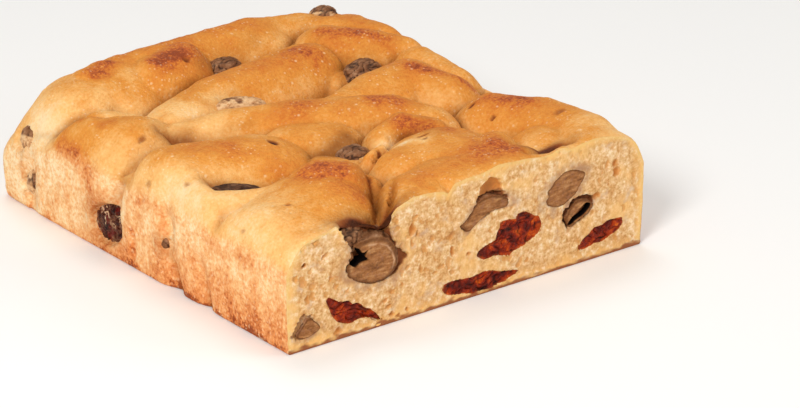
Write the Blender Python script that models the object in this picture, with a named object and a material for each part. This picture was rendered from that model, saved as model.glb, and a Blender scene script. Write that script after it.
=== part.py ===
"""Tomato and olive focaccia: a slab loaf with a dimpled top, cut straight across at the front.

Blender 4.5, metres, +Z up. The origin is the middle of the loaf's footprint, where it rests.
The cut face looks along -Y. Sizes below are millimetres, and MM turns them into metres.
"""

import math

import bmesh
import bpy
import numpy as np
from mathutils import Matrix, Vector

MM = 0.001

# Driving sizes of the loaf
LOAF_WIDTH = 150.0
LOAF_LENGTH = 173.0
CUT_Y = -LOAF_LENGTH / 2
WALL_TAPER = 0.6

# Radius of each back corner at the foot, and how much rounder it gets towards the top
LEFT_CORNER = (6.0, 22.0)
RIGHT_CORNER = (12.0, 10.0)

# Rounding at the foot, which is larger round the left back corner
FOOT_RADIUS = 1.2
CORNER_FOOT_RADIUS = 2.4

# Height of the browned edge between wall and top, and how far the top rounds in above it,
# at places along the outline from 0 at the left of the cut to 3 at the right of it
SHOULDER = [
    (0.00, 26.5, 9.0),
    (0.45, 25.5, 9.0),
    (0.75, 26.0, 12.0),
    (1.00, 13.0, 16.5),
    (1.30, 22.0, 15.0),
    (1.70, 30.0, 11.0),
    (2.10, 30.0, 9.0),
    (2.50, 31.0, 9.0),
    (3.00, 29.0, 8.0),
]

# Grooves in the left wall: y at the top, y at the foot, half width, depth, lowest and highest z
WALL_GROOVES = {
    "beside the tomato": (7.0, 15.0, 4.5, 3.0, 14.0, 40.0),
    "beside the small olive": (-19.0, -25.0, 4.0, 2.4, -5.0, 27.0),
    "near the foot": (-36.0, -41.0, 3.5, 1.6, -5.0, 14.0),
    "left end": (64.0, 66.0, 3.5, 1.5, 4.0, 17.0),
}

# Swollen ridges of dough: the two ends of the crest, half width, top height at each end
RIDGES = {
    "back left": (-52, 64, -38, 70, 19, 43.8, 45.5),
    "back left corner": (-60, 62, -52, 74, 13, 42.0, 43.5),
    "back left peak": (-47, 68, -40, 70, 9, 45.8, 46.4),
    "back": (-30, 76, 24, 78, 18, 46.0, 46.3),
    "back peak": (-17, 64, -9, 67, 8, 47.3, 47.6),
    "back right": (24, 78, 63, 76, 12, 46.0, 41.8),
    "right back corner": (57, 68, 64, 63, 12, 42.8, 43.0),
    "right back": (46, 54, 56, 42, 12, 45.2, 44.6),
    "right back edge": (56, 42, 66, 34, 10, 44.6, 42.5),
    "right back side": (63, 60, 66, 46, 10, 43.4, 43.8),
    "before the right back": (36, 31, 48, 26, 10, 38.0, 38.5),
    "behind the middle left": (-40, 30, -12, 39, 12, 40.5, 43.0),
    "behind the middle": (-12, 39, 30, 45, 12.5, 43.0, 44.2),
    "right middle": (17, 5, 34, 9, 11, 41.0, 42.8),
    "right middle end": (34, 9, 49, 10, 12, 42.8, 44.0),
    "right middle front": (49, 10, 54, -5, 11, 44.0, 41.8),
    "right edge": (63, 22, 65, 4, 10, 42.5, 39.5),
    "centre left end": (-44, 18, -26, 13, 9, 39.5, 41.5),
    "centre left": (-26, 13, -6, 1, 12, 41.5, 43.5),
    "centre": (-6, 1, 20, -15, 14, 43.5, 44.5),
    "centre right end": (20, -15, 29, -26, 11, 44.5, 42.0),
    "centre slope": (-16, -12, -6, -18, 14, 41.0, 41.0),
    "before the front": (-20, -34, -6, -40, 10, 38.5, 38.5),
    "left": (-66, 34, -58, 24, 15, 41.0, 43.0),
    "left front": (-62, -10, -38, -18, 18, 43.0, 43.5),
    "middle front": (3, -33, 14, -31, 7, 42.5, 44.5),
    "middle front end": (14, -31, 22, -37, 8, 44.5, 43.0),
    "front left": (-58, -66, -42, -60, 21, 41.0, 43.5),
    "front left back": (-66, -38, -46, -42, 10, 37.8, 38.5),
    "front left peak": (-36, -52, -28, -56, 11, 45.5, 45.0),
    "front middle back": (-2, -54, 18, -50, 13, 42.0, 43.8),
    "front middle": (14, -56, 16, -70, 20, 44.3, 44.8),
    "front middle peak": (22, -71, 26, -66, 9, 45.8, 45.6),
    "front middle left": (-16, -76, 2, -76, 15, 43.0, 44.2),
    "front middle cut": (2, -76, 22, -80, 18, 44.2, 45.0),
    "right front": (54, -32, 62, -48, 12, 42.4, 43.4),
    "right front edge": (62, -48, 62, -70, 13, 43.4, 44.5),
    "front right": (62, -70, 54, -82, 13, 44.5, 44.0),
    "front right slope": (46, -66, 43, -80, 9, 41.5, 43.0),
}
RIDGE_DROP = 6.5
RIDGE_POWER = 2.2
VALLEY_FLOOR = 31.0
CREASE_SOFTNESS = 0.8

# Creases pressed into the top: from x, y, to x, y, half width, depth at each end
CREASES = {
    "over the cut olive": (-43, -88, -27, -68, 6.5, 9.0, 6.0),
    "behind the cut olive": (-27, -68, -14, -46, 4.5, 6.0, 2.5),
    "front right hollow": (38, -84, 40, -74, 6.0, 2.5, 2.5),
    "left back": (-76, 53, -48, 49, 4.0, 3.5, 3.0),
    "left back inside": (-48, 49, -43, 30, 4.0, 3.0, 2.5),
    "left side": (-76, 7, -50, 11, 4.0, 4.5, 2.5),
}

# Whole olives in the dimples: x, y, half sizes, turn, how far the middle is under the dough, dent
TOP_OLIVES = {
    "olive_back_left": (6.5, 60.5, (8.0, 6.5, 5.5), 20, 1.8, 3.0),
    "olive_back_right": (43, 29, (10.0, 7.5, 6.5), 25, 0.0, 2.0),
    "olive_front": (-9, -34, (8.5, 6.5, 6.0), 30, 1.8, 2.0),
    "olive_in_dough": (-10.5, 28, (10.5, 5.5, 5.0), -12, 1.5, 1.5),
    "olive_left_dimple": (-59, -34, (8.0, 4.5, 4.5), 10, 2.5, 2.0),
    "olive_back_corner": (61.5, 77.5, (7.0, 5.5, 4.5), 20, 0.0, 1.0),
}

# Olives and tomatoes in the cut and the left wall: middle, half sizes, turn about the face normal
CUT_OLIVES = {
    "olive_cut_ring": ((-40.5, -84.0, 25.8), (11.2, 12.0, 8.8), 4),
    "olive_cut_crescent": ((7.5, -84.5, 29.5), (11.5, 8.0, 4.2), 20),
    "olive_cut_oval": ((40.5, -85.0, 28.8), (10.3, 9.0, 6.4), 28),
    "olive_cut_hollow": ((46.5, -84.0, 18.6), (7.6, 9.0, 4.6), 38),
    "olive_cut_low": ((-65.5, -84.5, 8.8), (5.0, 6.0, 4.4), 25),
}
CUT_TOMATOES = {
    "tomato_cut_left": ((-47.8, -85.0, 9.2), (13.0, 7.0, 4.2), -32),
    "tomato_cut_middle": ((15.6, -85.0, 17.4), (14.8, 8.0, 5.0), 20),
    "tomato_cut_base": ((3.8, -85.0, 5.0), (15.5, 8.0, 2.9), 2),
    "tomato_cut_right": ((56.0, -85.5, 8.5), (10.0, 7.0, 3.6), 14),
}
SIDE_PIECES = {
    "tomato_left_side": ((-69.9, 16.0, 11.5), (4.8, 9.0, 8.0), 15),
    "olive_left_side": ((-71.5, -18.0, 14.8), (3.0, 3.2, 3.2), 0),
    "olive_left_end": ((-71.2, 65.0, 11.0), (3.4, 4.2, 6.0), -10),
    "olive_left_corner": ((-69.8, 68.0, 24.5), (4.8, 5.0, 5.2), 0),
}
BEHIND_RING = ("olive_behind_ring", (-47.5, -79.5, 32.0), (7.5, 6.0, 5.5), 0)
PIT_SPACES = {
    "olive_cut_ring": ((-46.8, -86.5, 28.0), (3.4, 7.0, 3.2), 0),
    "olive_cut_hollow": ((46.8, -86.5, 18.6), (5.2, 6.0, 2.4), 42),
}
CLEARANCE = 0.45
WELD = 0.01
WRINKLE = 0.09

# Faces along the width, the length and up the wall
WIDTH_FACES = 32
LENGTH_FACES = 36
FOOT_ROWS = 2
WALL_ROWS = 4
SHOULDER_ROWS = 5
PIECE_SEGMENTS = 12
PIECE_RINGS = 8

# Colour, roughness
CRUST_LOOK = ((0.80, 0.45, 0.15), 0.55)
OLIVE_LOOK = ((0.20, 0.10, 0.05), 0.35)
TOMATO_LOOK = ((0.30, 0.03, 0.01), 0.30)


def along_line(x, y, x0, y0, x1, y1):
    """Place along a line from 0 to 1, and distance from it."""
    dx, dy = x1 - x0, y1 - y0
    t = np.clip(((x - x0) * dx + (y - y0) * dy) / (dx**2 + dy**2), 0.0, 1.0)
    return t, np.hypot(x - x0 - t * dx, y - y0 - t * dy)


def dough_height(x, y):
    """Height of the top: the softened highest of all ridges, less the creases and dents."""
    caps = [np.full_like(x, VALLEY_FLOOR)]
    for *ends, half, top0, top1 in RIDGES.values():
        t, off = along_line(x, y, *ends)
        caps.append(top0 + t * (top1 - top0) - RIDGE_DROP * (off / half) ** RIDGE_POWER)
    caps = np.array(caps)
    highest = caps.max(axis=0)
    blended = np.exp((caps - highest) / CREASE_SOFTNESS).sum(axis=0)
    height = highest + CREASE_SOFTNESS * np.log(blended)
    for *ends, half, depth0, depth1 in CREASES.values():
        t, off = along_line(x, y, *ends)
        height = height - (depth0 + t * (depth1 - depth0)) * np.exp(-((off / half) ** 2))
    for px, py, (half_x, half_y, _), turn, _, dent in TOP_OLIVES.values():
        a = math.radians(turn)
        u = (x - px) * math.cos(a) + (y - py) * math.sin(a)
        v = (y - py) * math.cos(a) - (x - px) * math.sin(a)
        reach2 = (u / (half_x * 1.15)) ** 2 + (v / (half_y * 1.25)) ** 2
        height = height - dent * np.exp(-(reach2**1.5))
    return height


def outline(s, roundness):
    """Plan of the loaf for s from 0 to 3: left wall, back wall, right wall, each one unit long.

    Returns x, y and the inward normal. The back corners are arcs, halved between two walls, and
    their radii grow as roundness goes from 0 to 1.
    """
    r_left = LEFT_CORNER[0] + LEFT_CORNER[1] * roundness
    r_right = RIGHT_CORNER[0] + RIGHT_CORNER[1] * roundness
    quarter = math.pi / 2
    left_end = LOAF_LENGTH - r_left
    back_start = left_end + r_left * quarter
    back_end = back_start + LOAF_WIDTH - r_left - r_right
    right_start = back_end + r_right * quarter
    whole = right_start + LOAF_LENGTH - r_right
    marks = [0, (left_end + back_start) / 2, (back_end + right_start) / 2, whole]
    walked = np.interp(s, [0, 1, 2, 3], marks)
    first = np.clip((walked - left_end) / r_left, 0, quarter)
    second = np.clip((walked - back_end) / r_right, 0, quarter)
    x = -LOAF_WIDTH / 2 + r_left * (1 - np.cos(first)) + r_right * np.sin(second)
    x = x + np.clip(walked, back_start, back_end) - back_start
    y = CUT_Y + np.clip(walked, 0, left_end) + r_left * np.sin(first) - r_right * (1 - np.cos(second))
    y = y - np.clip(walked - right_start, 0, None)
    return x, y, np.cos(first + second), -np.sin(first + second)


def groove_depth(y, z):
    """How far the grooves push the left wall in."""
    depth = np.zeros_like(y)
    for y_top, y_foot, half, deep, low, high in WALL_GROOVES.values():
        t = np.clip((z - low) / (high - low), 0, 1)
        off = (y - y_foot - (y_top - y_foot) * t) / half
        fade = np.clip((high + 6 - z) / 6, 0, 1) * np.clip((z - low + 6) / 6, 0, 1)
        depth = depth + deep * fade * np.exp(-(off**2))
    return depth


def wall_profile(s):
    """Rows of points up the wall at each s: rounded foot, wall, then the rounded shoulder.

    Returns x, y, z with one row for each step up.
    """
    places, edges, reaches = np.array(SHOULDER).T
    edge_z = np.interp(s, places, edges)
    round_in = np.interp(s, places, reaches)
    foot = FOOT_RADIUS + (CORNER_FOOT_RADIUS - FOOT_RADIUS) * np.exp(-(((s - 1) / 0.12) ** 2))
    steps = []
    for k in range(FOOT_ROWS):
        a = math.pi / 2 * k / FOOT_ROWS
        steps.append((0, WALL_TAPER + foot * (1 - math.sin(a)), foot * (1 - math.cos(a)), 0))
    for k in range(WALL_ROWS):
        t = k / WALL_ROWS
        steps.append((0, WALL_TAPER * (1 - t) ** 2, foot + (edge_z - foot) * t, 0))
    for k in range(SHOULDER_ROWS + 1):
        a = math.pi / 2 * k / SHOULDER_ROWS
        steps.append((1 - math.cos(a), round_in * (1 - math.cos(a)), edge_z, math.sin(a)))
    rows = []
    for roundness, inset, z, rise in steps:
        x, y, nx, ny = outline(s, roundness)
        inset = inset + np.where(s < 0.9, groove_depth(y, z), 0) * (1 - rise)
        x, y = x + nx * inset, y + ny * inset
        rows.append((x, y, z + (dough_height(x, y) - z) * rise))
    return [np.array(axis) for axis in zip(*rows)]


def coons(front, back, left, right):
    """Grid of points spread between four edge curves that share their corners."""
    u = np.linspace(0, 1, len(front))[:, None, None]
    v = np.linspace(0, 1, len(left))[None, :, None]
    across = (1 - v) * front[:, None] + v * back[:, None]
    along = (1 - u) * left[None] + u * right[None]
    corners = (1 - u) * (1 - v) * front[0] + u * (1 - v) * front[-1]
    corners = corners + (1 - u) * v * back[0] + u * v * back[-1]
    return across + along - corners


def relaxed(grid, rounds=400):
    """Evens out a grid inside its fixed edges, so that no face folds over at a rounded corner."""
    for _ in range(rounds):
        around = grid[:-2, 1:-1] + grid[2:, 1:-1] + grid[1:-1, :-2] + grid[1:-1, 2:]
        grid[1:-1, 1:-1] = around / 4
    return grid


def add_grid(bm, points, flip=False):
    """Adds a grid of points, shape (m, n, 3) in millimetres, as quads."""
    verts = [[bm.verts.new(p * MM) for p in row] for row in points]
    for row, after in zip(verts, verts[1:]):
        for a, b, c, d in zip(row, after, after[1:], row[1:]):
            bm.faces.new((d, c, b, a) if flip else (a, b, c, d))
    return verts


def loaf_mesh():
    """The loaf as one closed mesh: wall strip, top, flat base and flat cut face."""
    left_s = np.linspace(0, 1, LENGTH_FACES + 1)
    back_s = np.linspace(1, 2, WIDTH_FACES + 1)
    right_s = np.linspace(2, 3, LENGTH_FACES + 1)
    s = np.concatenate([left_s, back_s[1:], right_s[1:]])
    x, y, z = wall_profile(s)
    strip = np.stack([x, y, z], axis=-1)
    rim = strip[-1]
    left = rim[: LENGTH_FACES + 1]
    back = rim[LENGTH_FACES : LENGTH_FACES + WIDTH_FACES + 1]
    right = rim[LENGTH_FACES + WIDTH_FACES :][::-1]
    t = np.linspace(0, 1, WIDTH_FACES + 1)[:, None]
    front = left[0] * (1 - t) + right[0] * t
    top = relaxed(coons(front, back, left, right))
    top[..., 2] = dough_height(top[..., 0], top[..., 1])
    bm = bmesh.new()
    foot = add_grid(bm, strip, flip=True)
    crown = add_grid(bm, top)
    bm.faces.new(foot[0])
    cut_edge = [row[0] for row in foot] + [row[0] for row in crown[1:-1]] + [row[-1] for row in foot[::-1]]
    bm.faces.new(cut_edge)
    bmesh.ops.remove_doubles(bm, verts=bm.verts, dist=WELD * MM)
    bmesh.ops.recalc_face_normals(bm, faces=bm.faces)
    return bm


def lump_mesh(half_sizes, wrinkle=0.0, grow=0.0):
    """A rounded lump: a sphere with lengthwise wrinkles, stretched, then grown outwards."""
    bm = bmesh.new()
    bmesh.ops.create_uvsphere(bm, u_segments=PIECE_SEGMENTS, v_segments=PIECE_RINGS, radius=1.0)
    for v in bm.verts:
        around = math.atan2(v.co.y, v.co.x)
        swell = math.sin(3 * around + 2 * v.co.z) + 0.6 * math.sin(5 * around + 1.0)
        v.co *= 1 + wrinkle * swell * (1 - v.co.z**2)
        v.co = Vector([c * size * MM for c, size in zip(v.co, half_sizes)])
    bmesh.ops.triangulate(bm, faces=bm.faces)
    bm.normal_update()
    moves = [v.normal * grow * MM for v in bm.verts]
    for v, move in zip(bm.verts, moves):
        v.co += move
    return bm


def material(name, look):
    """A Principled material of one colour and roughness."""
    colour, roughness = look
    made = bpy.data.materials.new(name)
    made.use_nodes = True
    shader = made.node_tree.nodes["Principled BSDF"]
    shader.inputs["Base Color"].default_value = (*colour, 1.0)
    shader.inputs["Roughness"].default_value = roughness
    return made


def add_object(name, bm, look, collection=None, smooth=True):
    """Turns a bmesh into a named object in a collection."""
    mesh = bpy.data.meshes.new(name)
    bm.to_mesh(mesh)
    bm.free()
    if look is not None:
        mesh.materials.append(look)
    if smooth:
        mesh.shade_smooth()
        mesh.set_sharp_from_angle(angle=math.radians(50))
    made = bpy.data.objects.new(name, mesh)
    (collection or bpy.context.scene.collection).objects.link(made)
    return made


def add_cutter(name, bm, collection):
    """A hidden object that only cuts others."""
    cutter = add_object(name, bm, None, collection, smooth=False)
    cutter.hide_render = True
    cutter.display_type = "WIRE"
    return cutter


def cut_with(target, name, cutter=None, collection=None):
    """Cuts one object, or all of a collection, out of the target."""
    boolean = target.modifiers.new(name, "BOOLEAN")
    boolean.operation = "DIFFERENCE"
    boolean.solver = "EXACT"
    if collection is None:
        boolean.object = cutter
    else:
        boolean.operand_type = "COLLECTION"
        boolean.collection = collection


def slice_at_cut(bm):
    """Removes what lies in front of the cut face and closes the piece there."""
    parts = bm.verts[:] + bm.edges[:] + bm.faces[:]
    plane = Vector((0, CUT_Y * MM, 0))
    cut = bmesh.ops.bisect_plane(bm, geom=parts, plane_co=plane, plane_no=Vector((0, -1, 0)), clear_outer=True)
    rim = [e for e in cut["geom_cut"] if isinstance(e, bmesh.types.BMEdge)]
    bmesh.ops.contextual_create(bm, geom=rim)
    return bm


def placement(name):
    """Half sizes of a piece, and the matrix that puts it in its place."""
    if name in TOP_OLIVES:
        x, y, half_sizes, turn, under, _ = TOP_OLIVES[name]
        height = dough_height(np.array([float(x)]), np.array([float(y)]))[0]
        middle, spin = (x, y, height - under), Matrix.Rotation(math.radians(turn), 4, "Z")
    else:
        named = {**CUT_OLIVES, **CUT_TOMATOES, **SIDE_PIECES, BEHIND_RING[0]: BEHIND_RING[1:]}
        middle, half_sizes, turn = named[name]
        spin = Matrix.Rotation(-math.radians(turn), 4, "X" if name in SIDE_PIECES else "Y")
    return half_sizes, Matrix.Translation(Vector(middle) * MM) @ spin


def add_pieces(pockets):
    """Every olive and tomato, each with a slightly larger cutter for its pocket in the loaf."""
    looks = {"olive": material("olive", OLIVE_LOOK), "tomato": material("tomato", TOMATO_LOOK)}
    names = [*TOP_OLIVES, *CUT_OLIVES, *CUT_TOMATOES, *SIDE_PIECES, BEHIND_RING[0]]
    made = {}
    for name in names:
        kind = name.split("_")[0]
        wrinkle = WRINKLE if kind == "tomato" else 0.0
        half_sizes, matrix = placement(name)
        body = lump_mesh(half_sizes, wrinkle)
        body.transform(matrix)
        if name in CUT_OLIVES or name in CUT_TOMATOES:
            slice_at_cut(body)
        made[name] = add_object(name, body, looks[kind])
        pocket = lump_mesh(half_sizes, wrinkle, CLEARANCE)
        pocket.transform(matrix)
        add_cutter(f"pocket_{name}", pocket, pockets)
    return made


def add_pit_spaces(pieces, guides):
    """The hollow that the stone left in two of the cut olives."""
    for name, (middle, half_sizes, turn) in PIT_SPACES.items():
        hollow = lump_mesh(half_sizes)
        hollow.transform(Matrix.Translation(Vector(middle) * MM) @ Matrix.Rotation(-math.radians(turn), 4, "Y"))
        cutter = add_cutter(f"stone_{name}", hollow, guides)
        cut_with(pieces[name], "stone", cutter=cutter)


def main():
    for old in list(bpy.data.objects):
        bpy.data.objects.remove(old)
    pockets = bpy.data.collections.new("pockets")
    guides = bpy.data.collections.new("guides")
    for collection in (pockets, guides):
        bpy.context.scene.collection.children.link(collection)
    bread = add_object("bread", loaf_mesh(), material("crust", CRUST_LOOK))
    pieces = add_pieces(pockets)
    add_pit_spaces(pieces, guides)
    behind = pieces[BEHIND_RING[0]]
    cut_with(behind, "beside the ring", cutter=bpy.data.objects["pocket_olive_cut_ring"])
    cut_with(bread, "pockets", collection=pockets)


main()
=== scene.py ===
import math

import bpy
import numpy as np
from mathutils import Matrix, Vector


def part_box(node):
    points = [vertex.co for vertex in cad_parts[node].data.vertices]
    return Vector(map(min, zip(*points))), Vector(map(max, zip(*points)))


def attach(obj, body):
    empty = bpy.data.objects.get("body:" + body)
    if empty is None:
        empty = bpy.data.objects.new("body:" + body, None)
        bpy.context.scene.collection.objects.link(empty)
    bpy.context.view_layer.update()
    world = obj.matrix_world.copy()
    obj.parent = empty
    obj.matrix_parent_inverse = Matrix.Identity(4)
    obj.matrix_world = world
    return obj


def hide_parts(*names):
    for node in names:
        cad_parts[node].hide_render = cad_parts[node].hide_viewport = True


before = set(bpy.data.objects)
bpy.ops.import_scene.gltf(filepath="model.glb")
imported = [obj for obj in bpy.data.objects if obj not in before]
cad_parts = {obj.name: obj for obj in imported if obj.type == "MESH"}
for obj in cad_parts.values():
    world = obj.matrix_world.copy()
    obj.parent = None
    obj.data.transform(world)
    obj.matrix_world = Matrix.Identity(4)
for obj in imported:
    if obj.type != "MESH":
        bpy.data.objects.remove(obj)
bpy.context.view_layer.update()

print("frame loaded,", len(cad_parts), "nodes")

# Lengths below are millimetres in the frame's axes. The cut looks along -Y, the left wall along -X.
mm = 0.001
breadLow, breadHigh = (np.array(corner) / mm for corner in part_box("bread"))
cutY = breadLow[1]
loafWidth = breadHigh[0] - breadLow[0]
loafLength = breadHigh[1] - breadLow[1]

form = {
    "wallTaper": 0.6,
    "leftCorner": (6.0, 22.0),       # radius at the foot, and how much it grows towards the top
    "rightCorner": (12.0, 10.0),
    "footRadius": 1.2,
    "cornerFootRadius": 2.4,
    "cornerReach": 0.12,             # how far along the outline the corner's larger foot goes
    # place along the outline from 0 to 3, height of the browned edge, how far the top rounds in
    "shoulder": [
        (0.00, 26.5, 9.0), (0.45, 25.5, 9.0), (0.75, 26.0, 12.0), (1.00, 13.0, 16.5), (1.30, 22.0, 15.0),
        (1.70, 30.0, 11.0), (2.10, 30.0, 9.0), (2.50, 31.0, 9.0), (3.00, 29.0, 8.0),
    ],
    # y at the top, y at the foot, half width, depth, lowest and highest z
    "wallGrooves": [
        (7.0, 15.0, 4.5, 3.0, 14.0, 40.0),
        (-18.0, -23.0, 4.0, 2.0, -5.0, 27.0),
        (-38.0, -41.0, 3.5, 1.4, -5.0, 14.0),
        (64.0, 66.0, 3.5, 1.5, 4.0, 17.0),
    ],
    # swollen ridges of dough: both ends of the crest in plan, half width, height at each end
    "ridges": [
        (-52, 64, -38, 70, 19, 43.8, 45.5), (-60, 62, -52, 74, 13, 42.0, 43.5),
        (-47, 68, -40, 70, 9, 45.8, 46.4), (-30, 76, 24, 78, 18, 46.0, 46.3),
        (-24, 62, -9, 65.5, 11, 46.2, 47.2), (-58, 44, -44, 31, 11, 39.6, 38.8),
        (-73, 47, -66, 38, 10, 38.4, 40.6), (24, 78, 63, 76, 12, 46.0, 41.8),
        (57, 68, 64, 63, 12, 42.8, 43.0), (46, 54, 56, 42, 12, 45.2, 44.6),
        (56, 42, 66, 34, 10, 44.6, 42.5), (63, 60, 66, 46, 10, 43.4, 43.8),
        (36, 31, 48, 26, 10, 38.0, 38.5), (-40, 30, -12, 39, 12, 40.5, 43.0),
        (-12, 39, 30, 45, 12.5, 43.0, 44.2), (17, 5, 34, 9, 11, 41.0, 42.8),
        (34, 9, 49, 10, 12, 42.8, 44.0), (49, 10, 54, -5, 11, 44.0, 41.8), (63, 22, 65, 4, 10, 42.5, 39.5),
        (-44, 18, -26, 13, 9, 39.5, 41.5), (-26, 13, -6, 1, 12, 41.5, 43.5),
        (-6, 1, 20, -15, 14, 43.5, 44.5), (20, -15, 29, -26, 11, 44.5, 42.0),
        (-16, -12, -6, -18, 14, 41.0, 41.0), (-20, -34, -6, -40, 10, 38.5, 38.5),
        (-66, 34, -58, 24, 15, 41.0, 43.0), (-62, -10, -38, -18, 18, 43.0, 43.5),
        (3, -33, 14, -31, 7, 42.5, 44.5), (14, -31, 22, -37, 8, 44.5, 43.0),
        (-58, -66, -42, -60, 21, 41.0, 43.5), (-68, -36, -50, -45, 9, 37.6, 38.4),
        (-64, -16, -71, -36, 9, 41.0, 38.5), (-36, -52, -28, -56, 11, 45.5, 45.0),
        (-2, -54, 18, -50, 13, 42.0, 43.8), (14, -56, 16, -70, 20, 44.3, 44.8),
        (22, -71, 26, -66, 9, 45.8, 45.6), (-16, -76, 2, -76, 15, 43.0, 44.2),
        (2, -76, 22, -80, 18, 44.2, 45.0), (54, -32, 62, -48, 12, 42.4, 43.4),
        (62, -48, 62, -70, 13, 43.4, 44.5), (62, -70, 54, -82, 13, 44.5, 44.0),
        (50, -64, 42, -78, 13, 41.2, 42.2), (-10, -43.5, -3, -42, 3.2, 40.6, 41.2),
    ],
    "ridgeDrop": 6.5,
    "ridgePower": 2.2,
    "valleyFloor": 31.0,
    "creaseSoftness": 0.45,
    # creases pressed into the top: from, to, half width, depth at each end
    "creases": [
        (-40, -88, -26, -69, 6.0, 3.8, 2.2), (-26, -69, -14, -46, 4.5, 2.2, 2.0),
        (38, -84, 40, -74, 6.0, 2.5, 2.5), (-76, 53, -48, 49, 4.0, 1.9, 1.2),
        (-48, 49, -43, 30, 4.0, 1.5, 1.0), (-76, 7, -50, 11, 4.0, 4.5, 2.5),
    ],
    # narrow folds inside the creases, only in the dough's skin
    "folds": [
        (-17.8, -51.7, -21.7, -58.4, 1.1, 0.3, 0.9), (-21.7, -58.4, -23.4, -63.6, 1.1, 0.9, 1.4),
        (-23.4, -63.6, -27.4, -71, 1.3, 1.4, 2.0), (-27.4, -71, -37, -84, 1.4, 2.0, 2.4),
        (-17.2, -66.3, -25, -76, 1.2, 0.4, 1.9), (-25, -76, -31.5, -83, 1.4, 1.9, 2.4),
        (-52, 16.5, -46, 12.5, 1.5, 1.0, 3.0), (-46, 12.5, -38, 8, 1.5, 3.0, 0.8),
        (-76, 52, -50, 48.5, 1.2, 0.7, 0.4), (-76, 4, -66, 8, 2.8, 1.6, 1.4), (-66, 8, -50, 9, 1.8, 1.4, 1.2),
        (-24, 20, 4, 24, 1.3, 0.5, 0.5),
        (-62, 10, -46, 5, 1.3, 0.6, 1.3), (-46, 5, -30, 3, 1.3, 1.3, 0.4), (4, 49, 14, 46, 1.2, 0.5, 0.8),
        (14, 46, 42, 52, 1.2, 0.8, 0.4), (10, 7, 24, 17, 1.4, 0.3, 1.0), (24, 17, 33, 25, 1.7, 1.0, 1.9),
        (4, -37, 18, -38, 1.2, 0.5, 0.7), (27, -82, 46, -80.5, 2.0, 1.2, 2.6), (-4, 55, 1, 58, 1.6, 0.4, 1.8),
    ],
    # hollows with a steep edge: middle, half sizes, turn, depth, where the edge starts
    "hollows": [(-39.5, -90.0, 9.0, 8.0, 0, 1.0, 0.3)],
    "hollowFloor": 31.5,
    # the top edge of the cut, x and z, and how far back the dough is drawn to it
    "cutEdge": [
        (-75.0, 32.0), (-69.2, 35.6), (-64.5, 37.2), (-59.5, 38.0), (-55.2, 39.4), (-53.4, 38.4),
        (-50.5, 37.4), (-46.0, 36.6), (-42.0, 35.9), (-38.0, 34.6), (-35.8, 33.6), (-34.2, 34.8),
        (-32.6, 38.0), (-30.9, 39.6), (-24.0, 41.8), (-15.0, 40.9), (-9.7, 39.6), (-6.9, 42.1), (4.3, 43.1),
        (11.4, 44.4), (22.0, 43.8), (25.4, 43.2), (30.5, 42.3), (34.0, 42.4), (37.0, 43.4), (40.0, 43.1),
        (42.2, 42.1), (45.6, 42.8), (52.1, 43.7), (59.6, 42.8), (66.0, 40.8), (71.3, 38.6), (75.0, 34.0),
    ],
    "drawnBack": 5.0,
}

# Whole olives in the dimples: x, y, half sizes, turn, how far the middle is under the dough, dent
topOlives = {
    "olive_back_left": (5.0, 60.5, (8.6, 6.5, 5.5), 14, 2.4, 3.0),
    "olive_back_right": (43, 29, (10.0, 7.5, 6.5), 25, 2.4, 2.0),
    "olive_front": (-9, -34, (8.5, 6.5, 6.0), 30, 1.8, 2.0),
    "olive_in_dough": (-12.8, 26.8, (11.0, 5.6, 5.0), -12, 0.4, 2.0),
    "olive_left_dimple": (-56.2, -34.0, (10.5, 3.4, 3.8), -38, -1.1, 1.8),
    "olive_back_corner": (61.5, 77.5, (7.0, 5.5, 4.5), 20, 2.0, 1.0),
}
# The dough sinks in an oval round each of them: middle, half sizes, turn, depth
dents = [
    (x, y, half[0] * 1.15, half[1] * 1.25, turn, dent) for x, y, half, turn, _, dent in topOlives.values()
]


def smooth(value, start, end):
    # 0 before start, 1 after end, and 3t^2 - 2t^3 between them
    t = np.clip((value - start) / (end - start), 0, 1)
    return t * t * (3 - 2 * t)


def noiseField(points, size, seed):
    # gradient noise from about -1 to 1: each corner of a lattice, size apart, has a random slope,
    # and the slopes are blended by 6t^5 - 15t^4 + 10t^3. size may differ for each axis.
    rng = np.random.default_rng(seed)
    order = np.concatenate([rng.permutation(256)] * 2)
    slopes = rng.normal(size=(256, 3))
    slopes /= np.linalg.norm(slopes, axis=1)[:, None]
    scaled = points / np.broadcast_to(size, 3) + 1000.0
    cell = np.floor(scaled).astype(int)
    part = scaled - cell
    ease = part**3 * (part * (part * 6 - 15) + 10)
    total = 0
    for corner in np.ndindex(2, 2, 2):
        at = (cell + corner) & 255
        slope = slopes[order[order[order[at[..., 0]] + at[..., 1]] + at[..., 2]]]
        reach = ((part - corner) * slope).sum(axis=-1)
        weight = np.prod(np.where(corner, ease, 1 - ease), axis=-1)
        total = total + reach * weight
    return total * 1.6


def alongLine(x, y, x0, y0, x1, y1):
    # place along a line from 0 to 1, and distance from it
    dx, dy = x1 - x0, y1 - y0
    t = np.clip(((x - x0) * dx + (y - y0) * dy) / (dx**2 + dy**2), 0, 1)
    return t, np.hypot(x - x0 - t * dx, y - y0 - t * dy)


def turned(x, y, middle, turn):
    # places measured from a middle along axes turned by an angle in degrees
    a = math.radians(turn)
    dx, dy = x - middle[0], y - middle[1]
    return dx * math.cos(a) + dy * math.sin(a), dy * math.cos(a) - dx * math.sin(a)


def bells(x, y, lines, widen=1.0):
    # for each line in turn, its amount times exp(-(distance / half width)^2). A line has one amount
    # or one for each end.
    for x0, y0, x1, y1, half, *amounts in lines:
        t, off = alongLine(x, y, x0, y0, x1, y1)
        amount = amounts[0] + t * (amounts[-1] - amounts[0])
        yield amount * np.exp(-((off / (half * widen)) ** 2))


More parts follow.
